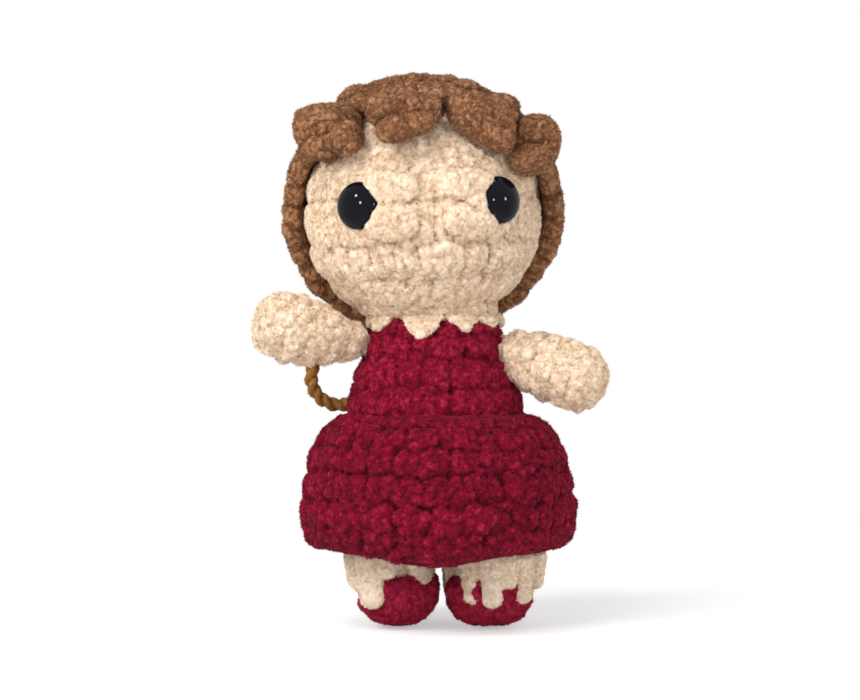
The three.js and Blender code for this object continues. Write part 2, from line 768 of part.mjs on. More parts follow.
function makeCord() {
  const points = cordRoute.map((point) => new THREE.Vector3(...point));
  const route = new THREE.CatmullRomCurve3(points);
  const corner = Array.from({ length: cordSides }, (_, index) => (index * 360 * degree) / cordSides);
  const section = new THREE.Shape(corner.map((angle) => (
    new THREE.Vector2(Math.cos(angle), Math.sin(angle)).multiplyScalar(cordDiameter / 2)
  )));
  const tube = new THREE.ExtrudeGeometry(section, {
    steps: cordSteps, extrudePath: route, bevelEnabled: false,
  });
  addPiece('back_loop', solidFrom(tube), material(colours.cord));
}

makeBody();
makeSkirt();
makeNeckSpikes();
makeHead();
makeEyes();
makeHair();
makeArms();
makeLegs();
makeCord();

export default doll;
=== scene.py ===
import json
import math
import zlib
from collections import namedtuple

import bpy
import numpy as np
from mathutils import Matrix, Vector


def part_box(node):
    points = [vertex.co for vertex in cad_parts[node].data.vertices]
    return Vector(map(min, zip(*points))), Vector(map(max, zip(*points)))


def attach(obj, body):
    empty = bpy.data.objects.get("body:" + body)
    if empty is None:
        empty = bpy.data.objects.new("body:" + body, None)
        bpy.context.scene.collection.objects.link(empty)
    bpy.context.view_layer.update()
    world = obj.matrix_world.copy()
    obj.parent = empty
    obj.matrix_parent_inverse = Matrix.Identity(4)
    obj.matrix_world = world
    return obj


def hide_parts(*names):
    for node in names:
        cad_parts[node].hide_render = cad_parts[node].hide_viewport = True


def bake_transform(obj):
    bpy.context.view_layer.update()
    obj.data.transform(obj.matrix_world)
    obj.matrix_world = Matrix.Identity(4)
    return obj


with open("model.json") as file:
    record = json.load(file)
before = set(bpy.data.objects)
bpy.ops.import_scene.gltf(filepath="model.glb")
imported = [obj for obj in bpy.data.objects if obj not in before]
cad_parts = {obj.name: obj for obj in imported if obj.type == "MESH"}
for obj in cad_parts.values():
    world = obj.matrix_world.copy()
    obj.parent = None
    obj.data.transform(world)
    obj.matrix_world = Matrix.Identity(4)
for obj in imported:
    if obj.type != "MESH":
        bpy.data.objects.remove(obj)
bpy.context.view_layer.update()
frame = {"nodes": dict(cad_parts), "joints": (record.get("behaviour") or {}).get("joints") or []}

MM = 0.001

SIDES = ("left", "right")
UP = np.array([0, 0, 1.0])

# Photograph: its size in pixels, the millimetres of one pixel at the doll, and the doll's origin on it
PHOTO_WIDTH, PHOTO_HEIGHT = 860, 700
PIXEL = 0.3043
ORIGIN_ACROSS, ORIGIN_DOWN = 429.5, 627
CAMERA_DISTANCE = 700
CAMERA_PLACE = np.array([
    (PHOTO_WIDTH / 2 - ORIGIN_ACROSS) * PIXEL, -CAMERA_DISTANCE, (ORIGIN_DOWN - PHOTO_HEIGHT / 2) * PIXEL,
])

# Yarn surface: how finely each crocheted piece is divided, and what stands on it
VOXEL = 0.52
SMALL_VOXEL = 0.4
PILE_SHARE = 1.0
# Fibres on a square millimetre, and the most of them on one piece
FIBRE_DENSITY, MAX_FIBRES = 3.2, 46000


def colour(red, green, blue):
    """An sRGB colour of 0 to 255 as the linear one that a shader takes."""
    parts = np.array([red, green, blue]) / 255
    linear = np.where(parts <= 0.04045, parts / 12.92, ((parts + 0.055) / 1.055) ** 2.4)
    return (*linear.tolist(), 1.0)


def draws(name):
    """Random draws that are the same on every run for a piece of this name."""
    return np.random.default_rng(zlib.crc32(name.encode()))


def salt_of(name):
    """A number for noise that is the same on every run for a piece of this name."""
    return zlib.crc32(name.encode()) % 9973


def placed(name, data):
    """A new object of this data, put into the scene."""
    obj = bpy.data.objects.new(name, data)
    bpy.context.scene.collection.objects.link(obj)
    return obj


def joint_place(name):
    """Where a joint's axis passes, in millimetres."""
    return next(np.array(j["pos_m"]) / MM for j in frame["joints"] if j["name"] == name)


def node_box(name):
    low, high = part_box(name)
    return np.array(low) / MM, np.array(high) / MM


def unit(vectors):
    vectors = np.asarray(vectors, float)
    return vectors / np.maximum(np.linalg.norm(vectors, axis=-1, keepdims=True), 1e-12)


def turn_matrix(axis, degrees):
    """The matrix that turns points about an axis through the origin."""
    x, y, z = unit(axis)
    angle = math.radians(degrees)
    cross = np.array([[0, -z, y], [z, 0, -x], [-y, x, 0]])
    return np.eye(3) + math.sin(angle) * cross + (1 - math.cos(angle)) * cross @ cross


def facing(turn):
    """The level direction that is turned this many degrees from the doll's front."""
    angle = math.radians(turn)
    return np.array([math.sin(angle), -math.cos(angle), 0])


def upright(out):
    """The three directions of a lump that stands upright and faces out."""
    return [np.cross(UP, out), UP, out]


# Noise in space

def hashed(cells, salt):
    """A number from 0 to 1 for each whole-number cell."""
    c = cells.astype(np.int64).astype(np.uint32)
    h = c[..., 0] * np.uint32(0x8DA6B343) ^ c[..., 1] * np.uint32(0xD8163841)
    h = h ^ c[..., 2] * np.uint32(0xCB1AB31F) ^ np.uint32((salt * 0x9E3779B9) & 0xFFFFFFFF)
    for shift, factor in ((16, 0x7FEB352D), (15, 0x846CA68B)):
        h = (h ^ (h >> np.uint32(shift))) * np.uint32(factor)
    return (h ^ (h >> np.uint32(16))) / 2**32


def soft_noise(points, size, salt):
    """Smooth noise from -1 to 1 that changes over a length of size."""
    scaled = points / size
    cell = np.floor(scaled)
    f = scaled - cell
    f = f * f * (3 - 2 * f)
    total = np.zeros(len(points))
    for corner in np.ndindex(2, 2, 2):
        step = np.array(corner)
        weight = np.prod(np.where(step == 1, f, 1 - f), axis=1)
        total += weight * hashed(cell + step, salt)
    return 2 * total - 1


def clumps(points, size, salt):
    """For each point, its nearest scattered clump: the distance as a share of size, the way
    from the clump's middle, and the clump's own number from 0 to 1."""
    scaled = points / size
    cell = np.floor(scaled)
    best = np.full(len(points), np.inf)
    away = np.zeros_like(points)
    number = np.zeros(len(points))
    for offset in np.ndindex(3, 3, 3):
        near = cell + np.array(offset) - 1
        middle = near + np.stack([hashed(near, salt + k) for k in range(3)], axis=1)
        apart = scaled - middle
        distance = (apart**2).sum(axis=1)
        closer = distance < best
        best[closer] = distance[closer]
        away[closer] = apart[closer]
        number[closer] = hashed(near[closer], salt + 3)
    return np.sqrt(best), away, number


# Surfaces

def round_template(rings, sides):
    """Points and faces of a closed unit ball."""
    points = [(0, 0, 1)]
    for i in range(1, rings):
        down = math.pi * i / rings
        for j in range(sides):
            turn = 2 * math.pi * j / sides
            points.append((math.sin(down) * math.cos(turn), math.sin(down) * math.sin(turn), math.cos(down)))
    points.append((0, 0, -1))
    last = len(points) - 1
    faces = []
    for j in range(sides):
        after = (j + 1) % sides
        faces.append((0, 1 + j, 1 + after))
        faces.append((last, last - sides + after, last - sides + j))
        for i in range(rings - 2):
            low, high = 1 + i * sides, 1 + (i + 1) * sides
            faces.append((low + j, high + j, high + after))
            faces.append((low + j, high + after, low + after))
    return np.array(points, float), np.array(faces)


BALL_POINTS, BALL_FACES = round_template(rings=10, sides=16)
# Powers of a lump's shape: 2 makes an ellipsoid, and a higher one is fuller at its corners
ROUND, CLUMP_POWER, STRAND_POWER, TUFT_POWER, PILLOW_POWER = 2, 2.1, 2.2, 2.3, 2.6


class Lumps:
    """Lumps of yarn that are melted into one closed surface."""

    def __init__(self):
        self.points, self.faces, self.count = [], [], 0

    def mesh(self, points, faces):
        self.points.append(points)
        self.faces.append(faces + self.count)
        self.count += len(points)

    def lump(self, centre, axes, sizes, power):
        """A rounded block: axes are its three directions, and sizes its half sizes along them."""
        reach = (np.abs(BALL_POINTS) ** power).sum(axis=1, keepdims=True) ** (-1 / power)
        shaped = BALL_POINTS * reach * np.asarray(sizes)
        self.mesh(np.asarray(centre) + shaped @ np.asarray(axes), BALL_FACES)

    def ball(self, centre, radius):
        self.lump(centre, np.eye(3), (radius, radius, radius), ROUND)

    def lathe(self, rings, origin, axis, sides=48):
        """A closed solid turned about an axis, from (radius, distance along the axis) pairs.
        The pairs start and end on the axis, or go round a ring's section."""
        axis = unit(axis)
        across = unit(np.cross(axis, (0, 1, 0) if abs(axis[1]) < 0.9 else (1, 0, 0)))
        beside = np.cross(axis, across)
        turns = 2 * np.pi * np.arange(sides) / sides
        round_way = np.cos(turns)[:, None] * across + np.sin(turns)[:, None] * beside
        points = np.concatenate([origin + r * round_way + h * axis for r, h in rings])
        faces = []
        rows = len(rings)
        whole_ring = rings[0][0] > 0
        for i in range(rows if whole_ring else rows - 1):
            low, high = i * sides, (i + 1) % rows * sides
            for j in range(sides):
                after = (j + 1) % sides
                faces.append((low + j, low + after, high + after))
                faces.append((low + j, high + after, high + j))
        self.mesh(points, np.array(faces))

    def melted(self, voxel, rounds=2):
        mesh = bpy.data.meshes.new("lumps")
        mesh.from_pydata(np.concatenate(self.points) * MM, [], np.concatenate(self.faces))
        obj = placed("lumps", mesh)
        remesh = obj.modifiers.new("melt", "REMESH")
        remesh.mode = "VOXEL"
        remesh.voxel_size = voxel * MM
        found = obj.evaluated_get(bpy.context.evaluated_depsgraph_get()).to_mesh()
        points = np.empty(len(found.vertices) * 3, np.float32)
        found.vertices.foreach_get("co", points)
        corners = np.empty(len(found.loops), np.int32)
        found.loops.foreach_get("vertex_index", corners)
        bpy.data.objects.remove(obj)
        bpy.data.meshes.remove(mesh)
        surface = Surface(points.reshape(-1, 3).astype(float) / MM, corners.reshape(-1, 4))
        surface.points = surface.smooth(rounds)
        return surface


class Surface:
    """A closed surface of four-cornered faces."""

    def __init__(self, points, quads):
        self.points, self.quads = points, quads
        ends = np.concatenate([quads[:, [i, (i + 1) % 4]] for i in range(4)])
        self.one = np.concatenate([ends[:, 0], ends[:, 1]])
        self.other = np.concatenate([ends[:, 1], ends[:, 0]])
        self.number = np.bincount(self.one, minlength=len(points))[:, None]

    def spread(self, values):
        """Each point's mean of its neighbours' values."""
        total = [np.bincount(self.one, column[self.other], len(values)) for column in values.T]
        return np.stack(total, axis=1) / np.maximum(self.number, 1)

    def smooth(self, rounds):
        """The points after rounds of going halfway to their neighbours' mean."""
        points = self.points
        for _ in range(rounds):
            points = 0.5 * (points + self.spread(points))
        return points

    def normals(self):
        a, b, c, d = (self.points[self.quads[:, i]] for i in range(4))
        face = np.cross(c - a, d - b)
        total = np.zeros_like(self.points)
        for i in range(4):
            for k in range(3):
                total[:, k] += np.bincount(self.quads[:, i], face[:, k], len(total))
        return unit(total)

    def hollowness(self, rounds):
        """How far each point lies below (over 0) or above the smoothed surface."""
        return ((self.smooth(rounds) - self.points) * self.normals()).sum(axis=1)


def mesh_object(name, points, faces, attributes, material):
    mesh = bpy.data.meshes.new(name)
    mesh.from_pydata(points * MM, [], faces)
    for key, values in attributes.items():
        kind = "FLOAT_VECTOR" if values.ndim == 2 else "FLOAT"
        layer = mesh.attributes.new(key, kind, "POINT")
        layer.data.foreach_set("vector" if values.ndim == 2 else "value", values.astype(np.float32).ravel())
    mesh.materials.append(material)
    return placed(name, mesh)


# Materials

def set_values(made, **values):
    """Sets a node's inputs, named with _ for a space, and its other settings."""
    for key, value in values.items():
        socket = key.replace("_", " ")
        if socket in made.inputs:
            made.inputs[socket].default_value = value
        else:
            setattr(made, key, value)
    return made


def node(tree, kind, **values):
    return set_values(tree.nodes.new(kind), **values)


def new_material(name):
    material = bpy.data.materials.new(name)
    material.use_nodes = True
    tree = material.node_tree
    shader = tree.nodes["Principled BSDF"]
    return material, tree, shader


def yarn_material(name, painted_crease_shade, middle, light, sheen, sheen_tint):
    """Chenille: the colour goes from painted shade in the creases to painted light on the tips, with a
    mottle over it.
    """
    material, tree, shader = new_material(name)
    link = tree.links.new
    # The height attribute holds the levels of painted shade and the random tone
    height = node(tree, "ShaderNodeAttribute", attribute_name="height")
    place = node(tree, "ShaderNodeAttribute", attribute_name="rest")
    mottle = node(tree, "ShaderNodeTexNoise", Scale=900.0, Detail=3.0, Roughness=0.6)
    patches = node(tree, "ShaderNodeTexNoise", Scale=90.0, Detail=2.0, Roughness=0.5)
    link(place.outputs["Vector"], mottle.inputs["Vector"])
    link(place.outputs["Vector"], patches.inputs["Vector"])
    total = height.outputs["Fac"]
    for noise, share in ((mottle, 0.8), (patches, 0.35)):
        added = node(tree, "ShaderNodeMath", operation="MULTIPLY_ADD")
        added.inputs[1].default_value = share
        link(noise.outputs["Fac"], added.inputs[0])
        link(total, added.inputs[2])
        total = added.outputs["Value"]
    level = node(tree, "ShaderNodeMapRange", From_Min=0.62, From_Max=1.5)
    link(total, level.inputs["Value"])
    # The ramp runs from painted shade in the creases, through the yarn's own colour, to painted light on the
    # tips
    ramp = node(tree, "ShaderNodeValToRGB")
    stops = ramp.color_ramp.elements
    stops[0].color = painted_crease_shade
    stops[1].color = light
    between = stops.new(0.5)
    between.color = middle
    link(level.outputs["Result"], ramp.inputs["Fac"])
    link(ramp.outputs["Color"], shader.inputs["Base Color"])
    bump = node(tree, "ShaderNodeBump", Strength=0.6, Distance=0.0004)
    link(mottle.outputs["Fac"], bump.inputs["Height"])
    link(bump.outputs["Normal"], shader.inputs["Normal"])
    set_values(shader, Roughness=0.95, Specular_IOR_Level=0.15, Sheen_Weight=sheen,
               Sheen_Roughness=0.5, Sheen_Tint=sheen_tint)
    return material


def plastic_material(name, scale, detail, dark, light, roughness):
    """A moulded plastic with a faint speckle between two colours, and its shader."""
    material, tree, shader = new_material(name)
    noise = node(tree, "ShaderNodeTexNoise", Scale=scale, Detail=detail)
    ramp = node(tree, "ShaderNodeValToRGB")
    ramp.color_ramp.elements[0].color = dark
    ramp.color_ramp.elements[1].color = light
    tree.links.new(noise.outputs["Fac"], ramp.inputs["Fac"])
    tree.links.new(ramp.outputs["Color"], shader.inputs["Base Color"])
    set_values(shader, Roughness=roughness)
    return material, shader


# Each yarn: painted shade in the creases, its own colour, painted light on the tips, and its sheen
SKIN = yarn_material(
    "skin_yarn", colour(168, 131, 101), colour(221, 195, 166), colour(248, 234, 215),
    0.12, colour(255, 240, 224),
)
DRESS = yarn_material(
    "dress_yarn", colour(58, 2, 16), colour(120, 8, 36), colour(168, 36, 66),
    0.08, colour(255, 120, 150),
)
HAIR = yarn_material(
    "hair_yarn", colour(48, 29, 19), colour(120, 80, 54), colour(190, 142, 104),
    0.12, colour(230, 190, 160),
)
CORD = yarn_material(
    "cord_yarn", colour(70, 44, 20), colour(134, 88, 44), colour(172, 122, 66),
    0.2, colour(230, 190, 140),
)


# A yarn's material and slot, its tufts' size and height, and its fibres' length and width
Yarn = namedtuple("Yarn", "material slot tuft tuft_height fibre width")

SKIN_YARN = Yarn(SKIN, "skin_yarn", tuft=1.5, tuft_height=0.36, fibre=0.6, width=0.2)
DRESS_YARN = Yarn(DRESS, "dress_yarn", tuft=1.5, tuft_height=0.38, fibre=0.66, width=0.19)
HAIR_YARN = Yarn(HAIR, "hair_yarn", tuft=1.5, tuft_height=0.36, fibre=0.66, width=0.19)
CORD_YARN = Yarn(CORD, "cord", tuft=1.2, tuft_height=0.1, fibre=0.4, width=0.15)


def tufted(surface, yarn, name):
    """Raises soft tufts on a surface and returns the levels of its painted shade, from 0 in a crease to 1 on
    a crest, with a random tone by clump.
    """
    salt = salt_of(name)
    normals = surface.normals()
    warp_size, warp_reach, swell_size = 1.3 * yarn.tuft, 0.35, 2.4 * yarn.tuft
    broad_rounds, fine_rounds = 16, 2
    warp = np.stack([soft_noise(surface.points, warp_size, salt + 31 + k) for k in range(3)], axis=1)
    place = surface.points + warp_reach * yarn.tuft * warp
    near, _, number = clumps(place, yarn.tuft, salt)
    broad = soft_noise(surface.points, swell_size, salt + 41)
    rise = yarn.tuft_height * (0.5 - 1.1 * near**2 + 0.5 * (number - 0.5) + 0.5 * broad)
    surface.points = surface.points + normals * rise[:, None]
    hollow = surface.hollowness(broad_rounds)
    fine = surface.hollowness(fine_rounds)
    # Painted shade: deeper colour in broad and fine creases, with a random tone by clump
    return np.clip(0.55 - 0.55 * hollow - 1.2 * fine + 0.16 * (number - 0.5), 0, 1)


# Faces of a fibre on three points round its root and its tip, and where the four lie on a cell
FIBRE_FACES = np.array([(0, 1, 3), (1, 2, 3), (2, 0, 3), (2, 1, 0)])
FIBRE_SHEET = np.array([(0.1, 0.1), (0.9, 0.1), (0.5, 0.25), (0.5, 0.9)])


def lay_out_fibres(obj, number):
    """Gives each fibre a cell of its own on the sheet that its colours are baked on."""
    side = int(math.ceil(math.sqrt(number)))
    cell = np.stack([np.arange(number) % side, np.arange(number) // side], axis=1)[:, None, None]
    layer = obj.data.uv_layers.new(name="OFBake")
    place = (cell + FIBRE_SHEET[FIBRE_FACES][None]) / side
    layer.uv.foreach_set("vector", place.astype(np.float32).ravel())


def pile(name, surface, painted_shade_and_tone, yarn, shown=None):
    """Short fibres that stand on the shown part of a surface, each a closed spike. They lean away
    from the middle of their clump."""
    lean, spread, root_depth = 0.9, 0.25, 0.25
    # Painted shade at the fibres' roots and painted light on their tips
    root_shade, tip_light, lightest = 0.2, 0.1, 1.15
    random = draws(name)
    points, quads = surface.points, surface.quads
    triangles = np.concatenate([quads[:, [0, 1, 2]], quads[:, [0, 2, 3]]])
    if shown is not None:
        triangles = triangles[shown(points[triangles].mean(axis=1))]
    corners = points[triangles]
    area = np.linalg.norm(np.cross(corners[:, 1] - corners[:, 0], corners[:, 2] - corners[:, 0]), axis=1) / 2
    number = int(min(MAX_FIBRES, area.sum() * FIBRE_DENSITY) * PILE_SHARE)
    picked = triangles[random.choice(len(triangles), number, p=area / area.sum())]
    share = np.sort(random.random((number, 2)), axis=1)
    weights = np.stack([share[:, 0], share[:, 1] - share[:, 0], 1 - share[:, 1]], axis=1)[:, :, None]
    root = (points[picked] * weights).sum(axis=1)
    normal = unit((surface.normals()[picked] * weights).sum(axis=1))
    height = (painted_shade_and_tone[picked] * weights[:, :, 0]).sum(axis=1)
    _, away, clump = clumps(root, yarn.tuft * 0.6, salt_of(name) + 5)
    sideways = away - (away * normal).sum(axis=1, keepdims=True) * normal
    way = unit(normal + lean * sideways + random.normal(0, spread, (number, 3)))
    length = yarn.fibre * random.uniform(0.55, 1.15, number) * (0.75 + 0.5 * clump)
    first = unit(np.cross(way, random.normal(0, 1, (number, 3))))
    second = np.cross(way, first)
    width = yarn.width * random.uniform(0.7, 1.25, number) / (PILE_SHARE**0.5)
    ring = [root - root_depth * way + width[:, None] * (math.cos(a) * first + math.sin(a) * second)
            for a in (0, 2 * math.pi / 3, 4 * math.pi / 3)]
    tip = root + way * length[:, None]
    made = np.stack([*ring, tip], axis=1).reshape(-1, 3)
    faces = (FIBRE_FACES[None] + 4 * np.arange(number)[:, None, None]).reshape(-1, 3)
    low = height - root_shade
    high = np.clip(height + tip_light + 0.55 * (random.random(number) - 0.45), 0, lightest)
    shade = np.stack([low, low, low, high], axis=1).ravel()
    obj = mesh_object(name, made, faces, {"height": shade, "rest": made * MM}, yarn.material)
    lay_out_fibres(obj, number)
    return obj


def yarn_mesh(name, surface, painted_shade_and_tone, yarn):
    """A piece's smooth surface, coloured by its levels of painted shade and tone."""
    obj = mesh_object(name, surface.points, surface.quads,
                      {"height": painted_shade_and_tone, "rest": surface.points * MM}, yarn.material)
    obj.data.shade_smooth()
    return obj


def yarn_piece(name, surface, yarn, place_on, nodes, shown=None, after=None, painted_shade=None):
    """A crocheted piece and its pile: place_on puts each of them on its body, after changes the
    tufted surface, and dim is painted shade, how much deeper the colour is than the yarn's, or
    painted light where it is under 0, as one number or by point, as the painted shade beside the curls."""
    painted_shade_and_tone = tufted(surface, yarn, name)
    if painted_shade is not None:
        painted_shade_and_tone = painted_shade_and_tone - (painted_shade(surface.points) if callable(painted_shade) else painted_shade)
    if after:
        after(surface)
    # The surface under the pile is painted deeper than the fibres, as painted shade
    painted_shade_under_pile = 0.1
    obj = yarn_mesh(name, surface, painted_shade_and_tone - painted_shade_under_pile, yarn)
    fibres = pile(f"{name}_pile", surface, painted_shade_and_tone, yarn, shown)
    for made in (obj, fibres):
        place_on(made)
    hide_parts(*nodes)


def riding(body):
    return lambda obj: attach(obj, body)


# Stitches

class Turned:
    """The directions of a form that is turned about an axis, with angles counted from its front."""

    def __init__(self, origin, axis=UP, front=(0, -1, 0)):
        self.origin = np.asarray(origin, float)
        self.axis = unit(axis)
        front = np.asarray(front, float)
        self.front = unit(front - (front @ self.axis) * self.axis)
        self.beside = np.cross(self.axis, self.front)

    def flat(self, angle):
        turn = math.radians(angle)
        return math.cos(turn) * self.front + math.sin(turn) * self.beside

    def side(self, angle):
        return self.flat(angle + 90)

    def at(self, angle, radius, height):
        return self.origin + radius * self.flat(angle) + height * self.axis


def ball_rounds(radius, angles):
    """A ball's outline as (radius, height) by round, from the angles off its axis where rounds meet."""
    def outline(place):
        angle = math.radians(np.interp(place, range(len(angles)), angles))
        return radius * math.sin(angle), radius * math.cos(angle)
    return outline


def listed_rounds(edges):
    """An outline as (radius, height) by round, from the list of its edges."""
    def outline(place):
        return [float(np.interp(place, range(len(edges)), values)) for values in zip(*edges)]
    return outline


# How far the rounds waver in and out, and over what length
WAVER, WAVER_LENGTH = 0.5, 11.0


def pillow_half(spacing, groove):
    """Half the size of pillows this far apart that meet in a groove of this share of their depth."""
    return 0.5 * spacing / (1 - (1 - groove) ** PILLOW_POWER) ** (1 / PILLOW_POWER)


def stitch(lumps, random, centre, axes, width, height, depth, groove, crease):
    """One crochet stitch: a soft pillow with the two legs of its V on it, and loose clumps. It meets
    the stitches beside it in the groove, and the rounds above and below in the crease."""
    pillow_drop, clump_count = 0.5, 3
    leg_wide, leg_tall, leg_depth, leg_tilt = 0.27 * width, 0.36 * height, 1.7, 18
    side, up, out = axes
    lean = turn_matrix(out, random.normal(0, 5))
    half = np.array([pillow_half(width, groove), pillow_half(height, crease), depth])
    lumps.lump(centre - (depth + pillow_drop) * out, [lean @ side, lean @ up, out],
               half * random.uniform(0.97, 1.03, 3), PILLOW_POWER)
    for leg in (-1, 1):
        tilt = turn_matrix(out, leg * leg_tilt + random.uniform(-20, 20))
        sizes = np.array([leg_wide, leg_tall, leg_depth]) * random.uniform(0.8, 1.15, 3)
        across = leg * random.uniform(0.14, 0.3) * width
        rise = random.normal(0, 0.07) * height
        place = centre + across * side + rise * up - (leg_depth + random.uniform(-0.3, 0.4)) * out
        lumps.lump(place, [tilt @ side, tilt @ up, out], sizes, STRAND_POWER)
    for _ in range(clump_count):
        across, rise = random.uniform(-0.46, 0.46, 2)
        size = random.uniform(1.7, 2.7)
        drop = size + random.uniform(-0.1, 0.35) + 4 * abs(rise) ** 3 * crease * depth
        lumps.lump(centre + across * width * side + rise * height * up - drop * out,
                   [side, up, out], (1.2 * size, size, size), CLUMP_POWER)


def even(counts, groove, crease):
    """Rounds whose stitches all meet in the same groove and crease."""
    return [(count, groove, crease) for count in counts]


# Rounds of each kind of piece: the stitches, the groove between them and the crease after the
# round. Those of an arm go from the hand to the shoulder
ROUNDS = {
    "head": [
        (5, 0.2, 0.2), (14, 0.2, 0.2), (24, 0.16, 0.2), (28, 0.16, 0.5), (28, 0.18, 0.5),
        (27, 0.42, 0.5), (22, 0.3, 0.45), (17, 0.3, 0.3),
    ],
    "hair": even([5, 10, 16, 22, 27, 31, 33, 35], 0.24, 0.3),
    "bodice": even([16, 17, 19, 21, 22], 0.3, 0.34),
    "skirt": even([22, 25, 28, 30, 30, 29, 26], 0.42, 0.42),
    "arm": even([6, 8, 8, 8, 7, 6], 0.3, 0.22),
    "leg": even([8, 10, 11], 0.3, 0.3),
    "shoe": even([12, 12, 10, 7], 0.25, 0.2),
}
# Half depth of each kind's stitches, and how far under their outline its core lies
DEPTHS = {
    "head": (3.4, 2.9), "hair": (2.9, 2.4), "bodice": (3.2, 2.8), "skirt": (3.2, 2.4),
    "arm": (2.9, 2.6), "leg": (2.8, 2.4), "shoe": (2.4, 1.8),
}


def crochet(lumps, random, form, outline, kind, bend=None):
    """Rounds of stitches over a turned form. They waver a little, and bend moves their places."""
    depth = DEPTHS[kind][0]
    salt = int(random.integers(1000))
    for row, (count, groove, crease) in enumerate(ROUNDS[kind]):
        (radius, height), (low_radius, low_height) = outline(row), outline(row + 1)
        middle_radius, middle_height = outline(row + 0.5)
        tall = math.hypot(radius - low_radius, height - low_height)
        grow, climb = (radius - low_radius) / tall, (height - low_height) / tall
        phase = random.random()
        for k in range(count):
            angle = (k + phase + random.normal(0, 0.08)) / count * 360
            flat = form.flat(angle)
            up = grow * flat + climb * form.axis
            out = climb * flat - grow * form.axis
            place = form.at(angle, middle_radius, middle_height)
            swell, drift = (soft_noise(place[None], WAVER_LENGTH, salt + k)[0] for k in range(2))
            place = place + WAVER * (swell * out + 1.2 * drift * up)
            if bend:
                place = bend(place)
            stitch(lumps, random, place, [form.side(angle), up, out],
                   2 * math.pi * middle_radius / count, tall, depth, groove, crease)


def core_edges(edges, kind, least=0):
    """The edges of a core as deep under an outline as its kind says, and no slimmer than least."""
    return [(max(radius - DEPTHS[kind][1], least), height) for radius, height in edges]


def seen_on(across, down, centre, radii):
    """The place that a pixel shows on a ball or an ellipsoid: radii is one radius or three."""
    way = np.array([(across - ORIGIN_ACROSS) * PIXEL, 0, (ORIGIN_DOWN - down) * PIXEL]) - CAMERA_PLACE
    start, step = (CAMERA_PLACE - centre) / radii, way / radii
    a, b, c = step @ step, start @ step, start @ start - 1
    return CAMERA_PLACE + way * (-b - math.sqrt(max(b * b - a * c, 0))) / a


# Head, hair cap and body in the frame: the low and the high corners of their boxes come first
HEAD_LOW, HEAD_HIGH = node_box("head_cover")
HEAD_RADIUS = (HEAD_HIGH[0] - HEAD_LOW[0]) / 2
HEAD_CENTRE = np.array([*(HEAD_LOW + HEAD_HIGH)[:2] / 2, HEAD_HIGH[2] - HEAD_RADIUS])
HAIR_LOW, HAIR_HIGH = node_box("hair_cap")
HAIR_RADIUS = (HAIR_HIGH[0] - HAIR_LOW[0]) / 2
BODY_LOW, BODY_HIGH = node_box("bodice")
BODY_MIDDLE = np.array([(BODY_LOW[0] + BODY_HIGH[0]) / 2, 0, 0])
# Edges of the head's rounds in degrees from its top
HEAD_ANGLES = [0, 13, 36, 59, 83, 104, 123, 140, 157]
# Below this height the head draws in towards the neck, by this share of its width every millimetre
DRAW_IN_HEIGHT, DRAW_IN = 108, 0.0075
# How the rounds are turned, in degrees
HEAD_NOD, HEAD_ROLL = 3.0, -1.5
# Start of the neck: radius and height above the head's lower edge
NECK_EDGES = [(0, 0), (17.2, 0), (18.5, 0.7), (18.9, 2.2), (18.4, 5), (17.8, 12), (0, 12)]
# Tufts that lie over the inner edge of each eye: pixels across and down, and half sizes in pixels
EYE_TUFTS = [
    (389, 188, 29, 17), (391, 222, 28, 19), (468, 184, 29, 16), (471, 221, 28, 18), (476, 202, 13, 10),
]


def eye_axis(name):
    """The way out of the face through an eye, which its washer inside the head lies on."""
    low, high = node_box(f"{name}_eye_washer")
    return unit((low + high) / 2 - HEAD_CENTRE)


def from_eye(points, name):
    """How far each point lies along an eye's axis, and how far off that axis."""
    axis = eye_axis(name)
    apart = points - HEAD_CENTRE
    along = apart @ axis
    return along, np.linalg.norm(apart - along[:, None] * axis, axis=1)


def make_head():
    random = draws("head")
    lumps = Lumps()
    lumps.ball(HEAD_CENTRE, HEAD_RADIUS - DEPTHS["head"][1])
    pose = turn_matrix((0, 1, 0), HEAD_ROLL) @ turn_matrix((1, 0, 0), HEAD_NOD)
    form = Turned(HEAD_CENTRE, pose @ UP)
    crochet(lumps, random, form, ball_rounds(HEAD_RADIUS, HEAD_ANGLES), "head")
    for points in lumps.points:
        share = 1 - DRAW_IN * np.maximum(0, DRAW_IN_HEIGHT - points[:, 2])[:, None]
        points[:, :2] = HEAD_CENTRE[:2] + (points[:, :2] - HEAD_CENTRE[:2]) * share
    tuft_drop, tuft_depth = 0.6, 3.2
    knot_count, knot_radius, knot_rise = 3, 2.2, 1.1
    for across, down, wide, tall in EYE_TUFTS:
        place = seen_on(across, down, HEAD_CENTRE, HEAD_RADIUS - tuft_drop)
        out = unit(place - HEAD_CENTRE)
        side = unit(np.cross(UP, out))
        up = np.cross(out, side)
        lumps.lump(place, [side, up, out], (wide * PIXEL, tall * PIXEL, tuft_depth), TUFT_POWER)
        for _ in range(knot_count):
            knot = random.uniform(-0.6, 0.6, 2) * (wide * PIXEL, tall * PIXEL)
            lumps.ball(place + knot[0] * side + knot[1] * up + knot_rise * out, knot_radius)
    lumps.lathe(NECK_EDGES, BODY_MIDDLE + UP * HEAD_LOW[2], UP)

    def press_under_eyes(made):
        seat_radius, seat_depth = 4.8, 1.2
        for name in SIDES:
            along, off = from_eye(made.points, name)
            limit = np.where(off < seat_radius, HEAD_RADIUS - seat_depth, np.inf)
            over = np.maximum(0, along - limit) * (along > 0)
            made.points = made.points - over[:, None] * eye_axis(name)

    def shown(points):
        cap_cosine, eye_clearing = 0.12, 5.2
        clear = unit(points - HEAD_CENTRE) @ CROWN < cap_cosine
        for name in SIDES:
            along, off = from_eye(points, name)
            clear &= (off > eye_clearing) | (along < 0)
        return clear

    yarn_piece("head", lumps.melted(VOXEL), SKIN_YARN, riding("head"),
               ("head_cover", "head_stuffing"), shown=shown, after=press_under_eyes)


